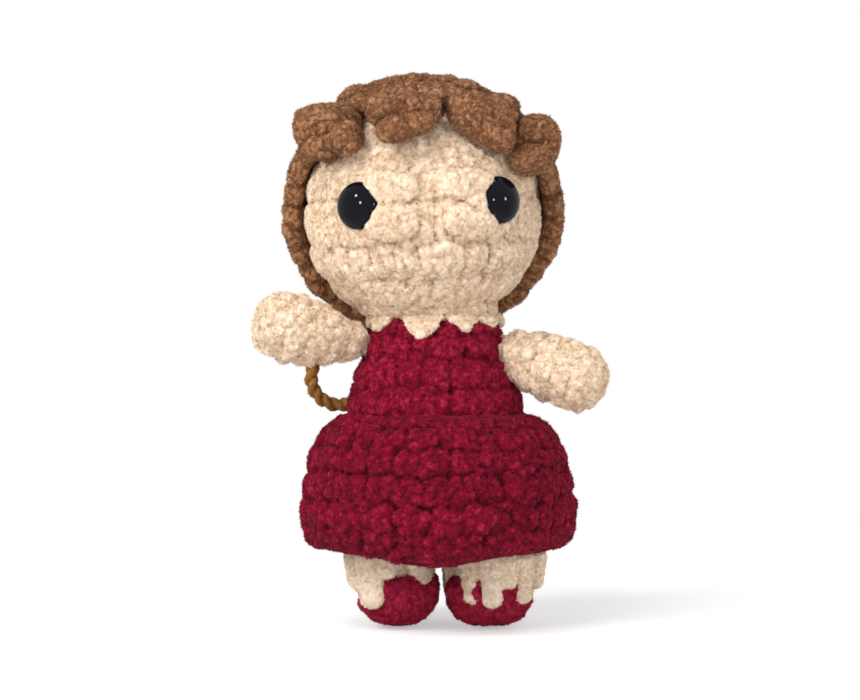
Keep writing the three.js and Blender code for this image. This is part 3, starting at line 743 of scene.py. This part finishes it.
def make_eyes():
    radius, rim, dome = 7.0, 1.0, 4.6
    post_radius, post_length = 2, 3
    base = HEAD_RADIUS - 0.7
    post_end = base - post_length
    rings = [(0, post_end), (post_radius, post_end), (post_radius, base), (radius, base)]
    steps = 24
    for i in range(steps):
        angle = math.radians(90 * i / steps)
        rings.append((radius * math.cos(angle), base + rim + (dome - rim) * math.sin(angle)))
    rings.append((0, base + dome))
    material, shader = plastic_material("black_gloss", scale=400.0, detail=2.0, roughness=0.05,
                                        dark=colour(6, 7, 11), light=colour(14, 16, 24))
    set_values(shader, IOR=1.22)
    for name in SIDES:
        lathe = Lumps()
        lathe.lathe(rings, HEAD_CENTRE, eye_axis(name), sides=64)
        obj = mesh_object(f"{name}_glossy_eye", lathe.points[0], lathe.faces[0], {}, material)
        obj.data.shade_smooth()
        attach(obj, "head")
        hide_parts(f"{name}_eye")


# Hair cap: rounds about a crown that points back and up from the head's middle
CROWN_RISE = math.radians(30.5)
CROWN = np.array([0, math.cos(CROWN_RISE), math.sin(CROWN_RISE)])
HAIR_ANGLES = [0, 12, 24, 36, 48, 60, 71, 82, 92]
# Fuller places of the cap's outline: pixels across and down, and half sizes in pixels
HAIR_BUMPS = [(412, 82, 12, 8), (360, 94, 17, 9), (349, 101, 12, 9), (462, 88, 18, 8), (502, 106, 18, 12)]


def off_head(margin):
    """Says of each point whether it lies further than this off the head."""
    return lambda points: np.linalg.norm(points - HEAD_CENTRE, axis=1) > HEAD_RADIUS + margin


def make_hair_cap():
    gap, bump_drop, bump_depth = 1.0, 2.0, 5
    lumps = Lumps()
    angles = np.radians(np.arange(0, 89, 4))
    rows = ((HAIR_RADIUS - DEPTHS["hair"][1], angles), (HEAD_RADIUS + gap, angles[::-1]))
    shell = [(radius * math.sin(a), radius * math.cos(a)) for radius, row in rows for a in row]
    lumps.lathe(shell, HEAD_CENTRE, CROWN)
    form = Turned(HEAD_CENTRE, CROWN, (1, 0, 0))
    crochet(lumps, draws("hair_cap"), form, ball_rounds(HAIR_RADIUS, HAIR_ANGLES), "hair")
    for across, down, wide, tall in HAIR_BUMPS:
        place = seen_on(across, down, HEAD_CENTRE, HAIR_RADIUS - bump_drop)
        lumps.lump(place, np.eye(3), (wide * PIXEL, bump_depth, tall * PIXEL), ROUND)
    # The cap's colour is painted deeper next to the curls, as painted shade
    yarn_piece("hair", lumps.melted(VOXEL), HAIR_YARN, riding("head"), ("hair_cap",),
               shown=off_head(2.5), painted_shade=lambda points: painted_shade_beside_curls(points, None))


# Curls of the fringe as lumps: pixels across and down, half sizes in pixels, the tilt of the
# longer one in degrees, and how far the lump's middle stands off the head in millimetres
CURLS = {
    "hair_curl_1": [
        (328, 128, 36, 26, 2, 6.5), (308, 129, 16, 22, 0, 6.0), (321, 148, 19, 14, 10, 6.0),
        (345, 139, 17, 17, 0, 6.0),
    ],
    "hair_curl_2": [
        (404, 109, 38, 19, 2, 6.5), (382, 112, 15, 17, 0, 6.0), (428, 109, 14, 16, 0, 6.0),
        (397, 129, 21, 14, -4, 6.0), (414, 123, 18, 13, 6, 6.0),
    ],
    "hair_curl_3": [
        (481, 120, 38, 22, 30, 6.5), (495, 136, 22, 15, 30, 6.0), (494, 112, 21, 14, 20, 6.0),
        (461, 109, 15, 16, 0, 6.0),
    ],
    "hair_curl_4": [
        (536, 139, 26, 26, 0, 6.5), (531, 160, 23, 16, -4, 6.0), (546, 149, 14, 18, 0, 6.0),
    ],
}
# A curl's painted shade on what lies beside it: its reach as a share of the curl's size, and its depth
SHADE_SHARE, SHADE_DEPTH = 0.3, 0.8


def curl_lumps(name):
    """The middle, the three directions and the half sizes of each lump of a curl."""
    pile_depth, most_depth, fullness = 0.6, 6.5, 1.5
    for across, down, wide, tall, tilt, lift in CURLS[name]:
        place = seen_on(across, down, HEAD_CENTRE, HEAD_RADIUS + lift)
        turn = turn_matrix((0, 1, 0), tilt)
        half = np.array([wide, tall]) * PIXEL - pile_depth
        axes = np.array([turn @ (1, 0, 0), (0, -1, 0), turn @ UP])
        yield place, axes, np.array([half[0], min(most_depth, half.mean() + fullness), half[1]])


def painted_shade_beside_curls(points, own):
    """Painted shade: how much deeper the colour is at points that lie close to the curls other than one's
    own.
    """
    total = np.zeros(len(points))
    others = [lump for name in CURLS if name != own for lump in curl_lumps(name)]
    for place, axes, half in others:
        away = np.linalg.norm((points - place) @ axes.T / half, axis=1)
        total = np.maximum(total, np.clip((1 + SHADE_SHARE - away) / SHADE_SHARE, 0, 1))
    return SHADE_DEPTH * total


def make_curls():
    knot_count, knot_share = 8, 0.72
    for index, name in enumerate(CURLS):
        random = draws(name)
        lumps = Lumps()
        for place, axes, half in curl_lumps(name):
            lumps.lump(place, axes, half, TUFT_POWER)
            for _ in range(knot_count):
                way = unit(random.normal(0, 1, 3) + (0, 0.8, 0))
                lumps.ball(place + knot_share * (way * half) @ axes, random.uniform(1.8, 2.7))
        # Each curl's colour is painted deeper next to the other curls, as painted shade
        yarn_piece(name, lumps.melted(SMALL_VOXEL), HAIR_YARN, riding("head"), (f"curl_{index + 1}",),
                   shown=off_head(1), painted_shade=lambda points: painted_shade_beside_curls(points, name))


# Body and skirt: radius and height of each edge between rounds
BODY_EDGES = [(18.2, 93.9), (20.9, 88.9), (22.6, 82.2), (25.4, 73.3), (27.4, 65.1), (27.4, 57.0)]
# Below this height the bodice has no pile, and within this radius the skirt has none
BODICE_PILE_LOW, SKIRT_PILE_RADIUS = 63, 29
# How far the skirt's middle lies to the doll's left of the body's
SKIRT_SHIFT = 0.9
SKIRT_EDGES = [
    (27.6, 65.6), (33.4, 62.6), (38.2, 56.0), (40.2, 48.6), (41.9, 40.2), (42.2, 31.8), (39.8, 26.0),
    (35.6, 24.2),
]
# How much lower the hem hangs at its lowest place, that place's x, and how wide the dip is
HEM_DIP, HEM_LOWEST, HEM_SPREAD = 3.0, 1.5, 15


def make_bodice():
    lumps = Lumps()
    top, waist, bottom = 93.8, (24.4, 46), BODY_LOW[2]
    foot = [(22.5, bottom + 2.5), (16, bottom + 0.3), (0, bottom + 0.3)]
    (top_radius, _), *lower = core_edges(BODY_EDGES, "bodice")
    lumps.lathe([(0, top), (top_radius, top), *lower, waist, *foot], BODY_MIDDLE, UP)
    crochet(lumps, draws("bodice"), Turned(BODY_MIDDLE), listed_rounds(BODY_EDGES), "bodice")
    yarn_piece("dress_bodice", lumps.melted(VOXEL), DRESS_YARN, riding("torso"),
               ("bodice", "body_stuffing"), shown=lambda points: points[:, 2] > BODICE_PILE_LOW)


def hung(place):
    """Lets the middle of the skirt's front and back hang lower than its sides."""
    down = (SKIRT_EDGES[0][1] - place[2]) / (SKIRT_EDGES[0][1] - SKIRT_EDGES[-1][1])
    middle = math.exp(-((place[0] - HEM_LOWEST) / HEM_SPREAD) ** 2)
    return place - np.array([0, 0, HEM_DIP * down**2 * middle])


def make_skirt():
    lumps = Lumps()
    wall, bore, lining_rise = 4.6, 27.9, 1.5
    outer = core_edges(SKIRT_EDGES, "skirt")
    inner = [(max(radius - wall, bore), height) for radius, height in SKIRT_EDGES[2:]]
    inner[-1] = (inner[-1][0], inner[-1][1] + lining_rise)
    middle = BODY_MIDDLE + (SKIRT_SHIFT, 0, 0)
    lumps.lathe(outer + inner[::-1], middle, UP, sides=96)
    lumps.points[0] = np.array([hung(point) for point in lumps.points[0]])
    crochet(lumps, draws("skirt"), Turned(middle), listed_rounds(SKIRT_EDGES), "skirt", hung)

    def shown(points):
        return np.hypot(points[:, 0] - BODY_MIDDLE[0], points[:, 1]) > SKIRT_PILE_RADIUS

    # The whole skirt is painted deeper, as painted shade
    yarn_piece("dress_skirt", lumps.melted(VOXEL), DRESS_YARN, riding("torso"), ("skirt",),
               shown=shown, painted_shade=0.12)


# Arms: how far forward they point in degrees, their radius and the facts of each
ARM_FORWARD = 18
ARM_RADIUS = 10.4
ARMS = {
    "left": {"side": 1, "rise": -19, "length": 31.0, "root": -3.6, "slim": 0},
    "right": {"side": -1, "rise": 12.5, "length": 34.8, "root": 0.3, "slim": 0.3},
}
# Shares of the length and of the radius at the edges between rounds
ARM_EDGE_SHARES = [
    (0, 0.64), (0.18, 0.8), (0.36, 0.92), (0.54, 1.0), (0.73, 0.99), (0.91, 0.76), (0.99, 0.2),
]
# The first share of an arm, over which a slim one grows to its full width
SLIM_SHARE = 0.4


def make_arm(name, arm):
    shoulder = joint_place(f"{name}_shoulder")
    rise, forward = math.radians(arm["rise"]), math.radians(ARM_FORWARD)
    level = math.cos(rise)
    along = np.array([
        arm["side"] * level * math.cos(forward), -level * math.sin(forward), math.sin(rise),
    ])
    lumps = Lumps()
    edges = [(radius * ARM_RADIUS * (1 - arm["slim"] * max(0, 1 - share / SLIM_SHARE)),
              arm["root"] + share * (arm["length"] - arm["root"])) for share, radius in ARM_EDGE_SHARES]
    root, tip = [(0, -5.5), (5, -5)], [(3, arm["length"] - 3), (0, arm["length"] - 2.5)]
    lumps.lathe([*root, *core_edges(edges[:-1], "arm", 1), *tip], shoulder, along, sides=24)
    # The edges are turned round too, so that the hand is at the top of every stitch
    form = Turned(shoulder, along)
    crochet(lumps, draws(f"{name}_arm"), form, listed_rounds(edges[::-1]), "arm")

    def place_on(obj):
        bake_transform(obj)

    yarn_piece(f"{name}_arm_yarn", lumps.melted(SMALL_VOXEL), SKIN_YARN, place_on,
               (f"{name}_arm_cover", f"{name}_arm_stuffing"))


# Legs and shoes: radius and height of each edge between rounds
LEG_EDGES = [(8.0, 41.0), (12.2, 35.0), (13.2, 25.5), (12.4, 15.0)]
SHOE_EDGES = [(12.6, 15.5), (12.9, 9.6), (10.9, 4.6), (7.6, 1.7), (4.2, 0.7)]
# How much longer than wide a shoe is, and its half width over the sole
FOOT_STRETCH, SHOE_REACH = 1.2, 12.8
# Height of the flat sole, and the height below which a shoe has no pile
SOLE_HEIGHT, SOLE_PILE_LOW = 0.05, 1.2
# How far each shoe stands towards the middle, and how wide it is beside the other
SHOE_SHIFTS = {"left": -0.6, "right": 2.2}
SHOE_WIDTHS = {"left": 1.07, "right": 0.96}
# Front spike stitches over each shoe: pixels across and down where each starts and ends, and the
# half widths there. The others are turns from the front, tip heights and half widths
FRONT_SPIKES = {
    "right": [
        ((354, 558), (360, 582), 11, 10), ((369, 560), (372, 595), 15, 14), ((387, 556), (386, 568), 13, 12),
        ((418, 554), (420, 574), 16, 14),
    ],
    "left": [
        ((451, 560), (453, 586), 11, 10), ((470, 562), (473, 595), 12, 10), ((490, 560), (492, 597), 13, 11),
        ((507, 558), (507, 579), 13, 11), ((523, 562), (522, 592), 13, 12), ((537, 558), (534, 580), 10, 8),
    ],
}
SIDE_SPIKES = {
    "right": [
        (76, 9.0, 3.8), (112, 8.2, 3.8), (148, 9.6, 3.8), (184, 7.8, 3.8), (220, 8.6, 3.8), (256, 12.0, 4.0),
    ],
    "left": [
        (84, 11.5, 4.0), (120, 7.4, 3.8), (156, 8.8, 3.8), (192, 7.5, 3.8), (228, 9, 3.8), (264, 9.2, 3.8),
    ],
}
# Where the lumps of a spike stitch lie, as shares of its length
SPIKE_SHARES = (0, 0.34, 0.67, 1)


def make_leg(name):
    hip = joint_place(f"{name}_hip")
    origin = np.array([hip[0], hip[1], 0])
    random = draws(f"{name}_leg")
    lumps = Lumps()
    top, foot = [(0, 43.0), (6.0, 42.0)], (0, 15.0)
    lumps.lathe([*top, *core_edges(LEG_EDGES, "leg"), foot], origin, UP, sides=32)
    crochet(lumps, random, Turned(origin), listed_rounds(LEG_EDGES), "leg")
    # Front spikes are set on an upright post, so its height is as good as endless
    front_tall, front_depth, endless = 2.6, 2.9, 1e6
    reach = SHOE_REACH - 1.2
    shell = np.array([reach, reach * FOOT_STRETCH, endless])
    for start, end, wide, narrow in FRONT_SPIKES[name]:
        for share in SPIKE_SHARES:
            across, down = np.array(start) * (1 - share) + np.array(end) * share
            place = seen_on(across, down, origin, shell)
            out = unit((place - origin) * (1, 1 / FOOT_STRETCH**2, 0))
            half = (wide + (narrow - wide) * share) * (1.1 - 0.35 * share + 0.2 * share**2) * PIXEL
            lumps.lump(place, upright(out), (half, max(front_tall, half), front_depth), STRAND_POWER)
    side_drop, side_top, side_tall, side_depth = 2, 18, 3.4, 2.6
    for turn, tip, half in SIDE_SPIKES[name]:
        out = facing(turn)
        reach = (SHOE_REACH - side_drop) * math.hypot(out[0], FOOT_STRETCH * out[1])
        for share in SPIKE_SHARES:
            height = side_top + share * (tip + half * 0.8 - side_top)
            wide = half * (1.12 - 0.25 * share) * random.uniform(0.94, 1.06)
            lumps.lump(origin + out * reach + UP * height, upright(out),
                       (wide, side_tall, side_depth), STRAND_POWER)
    # The whole leg is painted lighter, as painted light
    yarn_piece(f"{name}_leg_yarn", lumps.melted(SMALL_VOXEL), SKIN_YARN, riding(f"{name}_leg"),
               (f"{name}_leg_cover", f"{name}_leg_stuffing"), painted_shade=-0.14)

    shoe = Lumps()
    sole = origin + (SHOE_SHIFTS[name], 0, 0)
    top, foot = (0, 15.0), [(3, 1.0), (0, 1.0)]
    shoe.lathe([top, *core_edges(SHOE_EDGES[:-1], "shoe"), *foot], sole, UP, sides=32)
    crochet(shoe, random, Turned(sole), listed_rounds(SHOE_EDGES), "shoe")
    for points in shoe.points:
        points[:, 0] = sole[0] + (points[:, 0] - sole[0]) * SHOE_WIDTHS[name]
        points[:, 1] *= FOOT_STRETCH

    def flat_sole(made):
        made.points[:, 2] = np.maximum(made.points[:, 2], SOLE_HEIGHT)

    # The whole shoe is painted lighter, as painted light
    yarn_piece(f"{name}_shoe_yarn", shoe.melted(SMALL_VOXEL, rounds=3), DRESS_YARN, riding(f"{name}_leg"),
               (f"{name}_shoe",), shown=lambda points: points[:, 2] > SOLE_PILE_LOW,
               after=flat_sole, painted_shade=-0.2)


# Neck spikes: turn from the front, length below the neck and half width
NECK_SPIKES = [
    (-84, 3.0, 4.6), (-60, 4.2, 5.2), (-12, 6.8, 6.8), (26, 4.4, 5.4), (58, 3.2, 5.6), (88, 3.0, 4.6),
    (118, 3.6, 5.0), (150, 4.6, 5.4), (187, 5.0, 5.6), (224, 4.2, 5.4), (256, 3.2, 4.8),
]


def make_neck_spikes():
    random = draws("neck")
    lumps = Lumps()
    top, inner, outer = 94.3, 14, 17.4
    low, high = top - 1.4, top + 0.2
    lumps.lathe([(inner, low), (outer, low), (outer, high), (inner, high)], BODY_MIDDLE, UP)
    lump_count, tip, tall, depth = 7, 1.8, 1.6, 1.8
    for turn, length, half in NECK_SPIKES:
        out = facing(turn)
        for share in np.arange(lump_count) / (lump_count - 1):
            height = top - 0.2 - share * (length - 1.5)
            radius = outer + 0.9 * min(1, 4 * share) + (top - height) * 0.5
            wide = (half - tip) * (1 - share**1.4) + tip
            lumps.lump(BODY_MIDDLE + out * radius + UP * height, upright(out),
                       (wide * random.uniform(0.9, 1.1), tall, depth * random.uniform(0.9, 1.15)),
                       CLUMP_POWER)
    yarn_piece("neck_spike_stitches", lumps.melted(SMALL_VOXEL), SKIN_YARN, riding("torso"),
               ("neck_spikes",))


# Cord at the back: the same route as the frame's back loop, sewn to the dress at both ends
CORD_ROUTE = [
    [-15.1, 14, 84.4], [-18.1, 16.6, 84.6], [-22, 19, 85.2], [-26.5, 20.2, 85.6],
    [-30.6, 20.3, 84.6], [-34.2, 20.1, 82.2], [-36.5, 19.9, 78.8], [-37, 19.8, 75],
    [-35.9, 19.9, 71.4], [-33.4, 20.3, 68.6], [-29.9, 20.8, 67.2], [-26.2, 20.6, 67.2],
    [-22.9, 19.4, 67.7], [-20, 17.6, 68.2],
]
# Length of one turn of the strands, a strand's radius and how far it lies off the cord's middle
CORD_TWIST, STRAND_RADIUS, STRAND_OFFSET = 7.5, 1.25, 0.95
CORD_VOXEL, CORD_STEPS = 0.3, 120


def smooth_route(points, steps):
    """A smooth curve through points, evenly divided, and its length."""
    points = np.array(points, float)
    before = np.vstack([2 * points[0] - points[1], points, 2 * points[-1] - points[-2]])
    found = []
    for i in range(1, len(before) - 2):
        p0, p1, p2, p3 = before[i - 1:i + 3]
        for t in np.linspace(0, 1, 12, endpoint=False):
            found.append(0.5 * (2 * p1 + (p2 - p0) * t + (2 * p0 - 5 * p1 + 4 * p2 - p3) * t**2
                                + (3 * p1 - p0 - 3 * p2 + p3) * t**3))
    found = np.array([*found, points[-1]])
    run = np.concatenate([[0], np.cumsum(np.linalg.norm(np.diff(found, axis=0), axis=1))])
    marks = np.linspace(0, run[-1], steps)
    return np.stack([np.interp(marks, run, found[:, k]) for k in range(3)], axis=1), run[-1]


def make_cord():
    route, length = smooth_route(CORD_ROUTE, CORD_STEPS)
    along = unit(np.gradient(route, axis=0))
    across = unit(np.cross(along, (0, 1, 0.2)))
    beside = np.cross(along, across)
    random = draws("cord")
    lumps = Lumps()
    for ply in (0, 1):
        for i in range(len(route)):
            turn = 2 * math.pi * (i / (len(route) - 1) * length / CORD_TWIST + ply / 2)
            flat = math.cos(turn) * across[i] + math.sin(turn) * beside[i]
            lumps.ball(route[i] + STRAND_OFFSET * flat, STRAND_RADIUS * random.uniform(0.95, 1.05))
    surface = lumps.melted(CORD_VOXEL)
    painted_shade_and_tone = tufted(surface, CORD_YARN, "cord")
    obj = yarn_mesh("twisted_cord", surface, painted_shade_and_tone, CORD_YARN)
    fibres = pile("twisted_cord_pile", surface, painted_shade_and_tone, CORD_YARN)
    for made in (obj, fibres):
        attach(made, "torso")
    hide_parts("back_loop")
    print(f"cord length {length:.1f} mm")


def make_washers():
    material, _ = plastic_material("washer_plastic", scale=300.0, detail=3.0, roughness=0.45,
                                   dark=colour(214, 212, 204), light=colour(236, 234, 228))
    for name in SIDES:
        obj = frame["nodes"][f"{name}_eye_washer"]
        obj.data.materials.clear()
        obj.data.materials.append(material)


# Camera, lamps and floor

SENSOR_WIDTH = 36


def make_camera():
    data = bpy.data.cameras.new("camera")
    data.sensor_width = SENSOR_WIDTH
    data.lens = SENSOR_WIDTH * CAMERA_DISTANCE / (PHOTO_WIDTH * PIXEL)
    data.clip_start, data.clip_end = 0.01, 20
    camera = placed("camera", data)
    camera.location = CAMERA_PLACE * MM
    camera.rotation_euler = (math.radians(90), 0, 0)
    bpy.context.scene.camera = camera


# Lamps: name, place, target, size and watts
LAMPS = [
    ("key", (-0.52, -0.78, 1.12), (0, 0, 0.09), 1.0, 12.8),
    ("low", (-0.1, -1.0, 0.06), (0, 0, 0.03), 0.9, 2.1),
    ("back", (0.5, 1.0, 0.7), (0, 0, 0.08), 1.0, 3),
]
# Small lamps that glint on the eyes: turn from the front, rise and watts
SPOTS = [(-54, 26, 0.7), (-38, 10, 0.7), (30, 6, 0.6), (70, 9, 0.4)]
SPOT_TARGET, SPOT_DISTANCE, SPOT_SIZE = (0, 0, 0.13), 0.6, 0.06
# Strength of the world's light, of the floor's own glow and the half size of the floor
WORLD_LIGHT, FLOOR_GLOW, FLOOR_HALF = 0.33, 0.42, 4.0


def area_lamp(name, place, target, size, power, glints=False):
    data = bpy.data.lights.new(name, "AREA")
    data.shape, data.size, data.energy = "DISK", size, power
    lamp = placed(name, data)
    lamp.visible_glossy = glints
    lamp.location = place
    lamp.rotation_euler = (Vector(target) - Vector(place)).to_track_quat("-Z", "Y").to_euler()


def make_lamps():
    for lamp in LAMPS:
        area_lamp(*lamp)
    for spot, (turn, rise, power) in enumerate(SPOTS):
        rise = math.radians(rise)
        way = facing(turn) * math.cos(rise) + UP * math.sin(rise)
        place = tuple(SPOT_DISTANCE * way + SPOT_TARGET)
        area_lamp(f"spot_{spot}", place, SPOT_TARGET, SPOT_SIZE, power, glints=True)


def mixed(tree, share, first, second):
    """The shader that goes from the first socket to the second as share goes from 0 to 1."""
    mix = tree.nodes.new("ShaderNodeMixShader")
    for source, target in zip((share, first, second), mix.inputs):
        tree.links.new(source, target)
    return mix.outputs["Shader"]


def shown_white(tree, shader_socket, white_socket, output):
    """Rays from the camera, and those off gloss or through glass, see white_socket."""
    path = tree.nodes.new("ShaderNodeLightPath")
    seen = path.outputs["Is Camera Ray"]
    for ray in ("Is Glossy Ray", "Is Transmission Ray"):
        either = node(tree, "ShaderNodeMath", operation="MAXIMUM")
        tree.links.new(seen, either.inputs[0])
        tree.links.new(path.outputs[ray], either.inputs[1])
        seen = either.outputs["Value"]
    tree.links.new(mixed(tree, seen, shader_socket, white_socket), output)


def make_world():
    world = bpy.data.worlds.new("studio")
    bpy.context.scene.world = world
    world.use_nodes = True
    tree = world.node_tree
    plain = tree.nodes["Background"]
    set_values(plain, Color=(1, 1, 1, 1), Strength=WORLD_LIGHT)
    white = node(tree, "ShaderNodeBackground", Color=(1, 1, 1, 1), Strength=1.0)
    shown_white(tree, plain.outputs["Background"], white.outputs["Background"],
                tree.nodes["World Output"].inputs["Surface"])


def make_floor():
    mesh = bpy.data.meshes.new("floor")
    corners = [(x * FLOOR_HALF, y * FLOOR_HALF, 0) for x, y in ((-1, -1), (1, -1), (1, 1), (-1, 1))]
    mesh.from_pydata(corners, [], [(0, 1, 2, 3)])
    floor = placed("floor", mesh)
    material = bpy.data.materials.new("floor")
    material.use_nodes = True
    tree = material.node_tree
    tree.nodes.remove(tree.nodes["Principled BSDF"])
    diffuse = node(tree, "ShaderNodeBsdfDiffuse", Color=(0.8, 0.8, 0.8, 1))
    glow = node(tree, "ShaderNodeEmission", Strength=FLOOR_GLOW)
    add = tree.nodes.new("ShaderNodeAddShader")
    tree.links.new(diffuse.outputs["BSDF"], add.inputs[0])
    tree.links.new(glow.outputs["Emission"], add.inputs[1])
    white = node(tree, "ShaderNodeEmission", Strength=1.0)
    place = tree.nodes.new("ShaderNodeTexCoord")
    length = node(tree, "ShaderNodeVectorMath", operation="LENGTH")
    tree.links.new(place.outputs["Object"], length.inputs[0])
    fade = node(tree, "ShaderNodeMapRange", interpolation_type="SMOOTHSTEP", From_Min=0.1, From_Max=0.4)
    tree.links.new(length.outputs["Value"], fade.inputs["Value"])
    seen = mixed(tree, fade.outputs["Result"], add.outputs["Shader"], white.outputs["Emission"])
    shown_white(tree, diffuse.outputs["BSDF"], seen, tree.nodes["Material Output"].inputs["Surface"])
    mesh.materials.append(material)


make_camera()
make_cord()
make_head()
make_eyes()
make_washers()
make_hair_cap()
make_curls()
make_bodice()
make_skirt()
make_neck_spikes()
for arm_name, arm_facts in ARMS.items():
    make_arm(arm_name, arm_facts)
for leg_name in SIDES:
    make_leg(leg_name)
make_world()
make_floor()
make_lamps()
bpy.context.scene.view_settings.view_transform = "Standard"
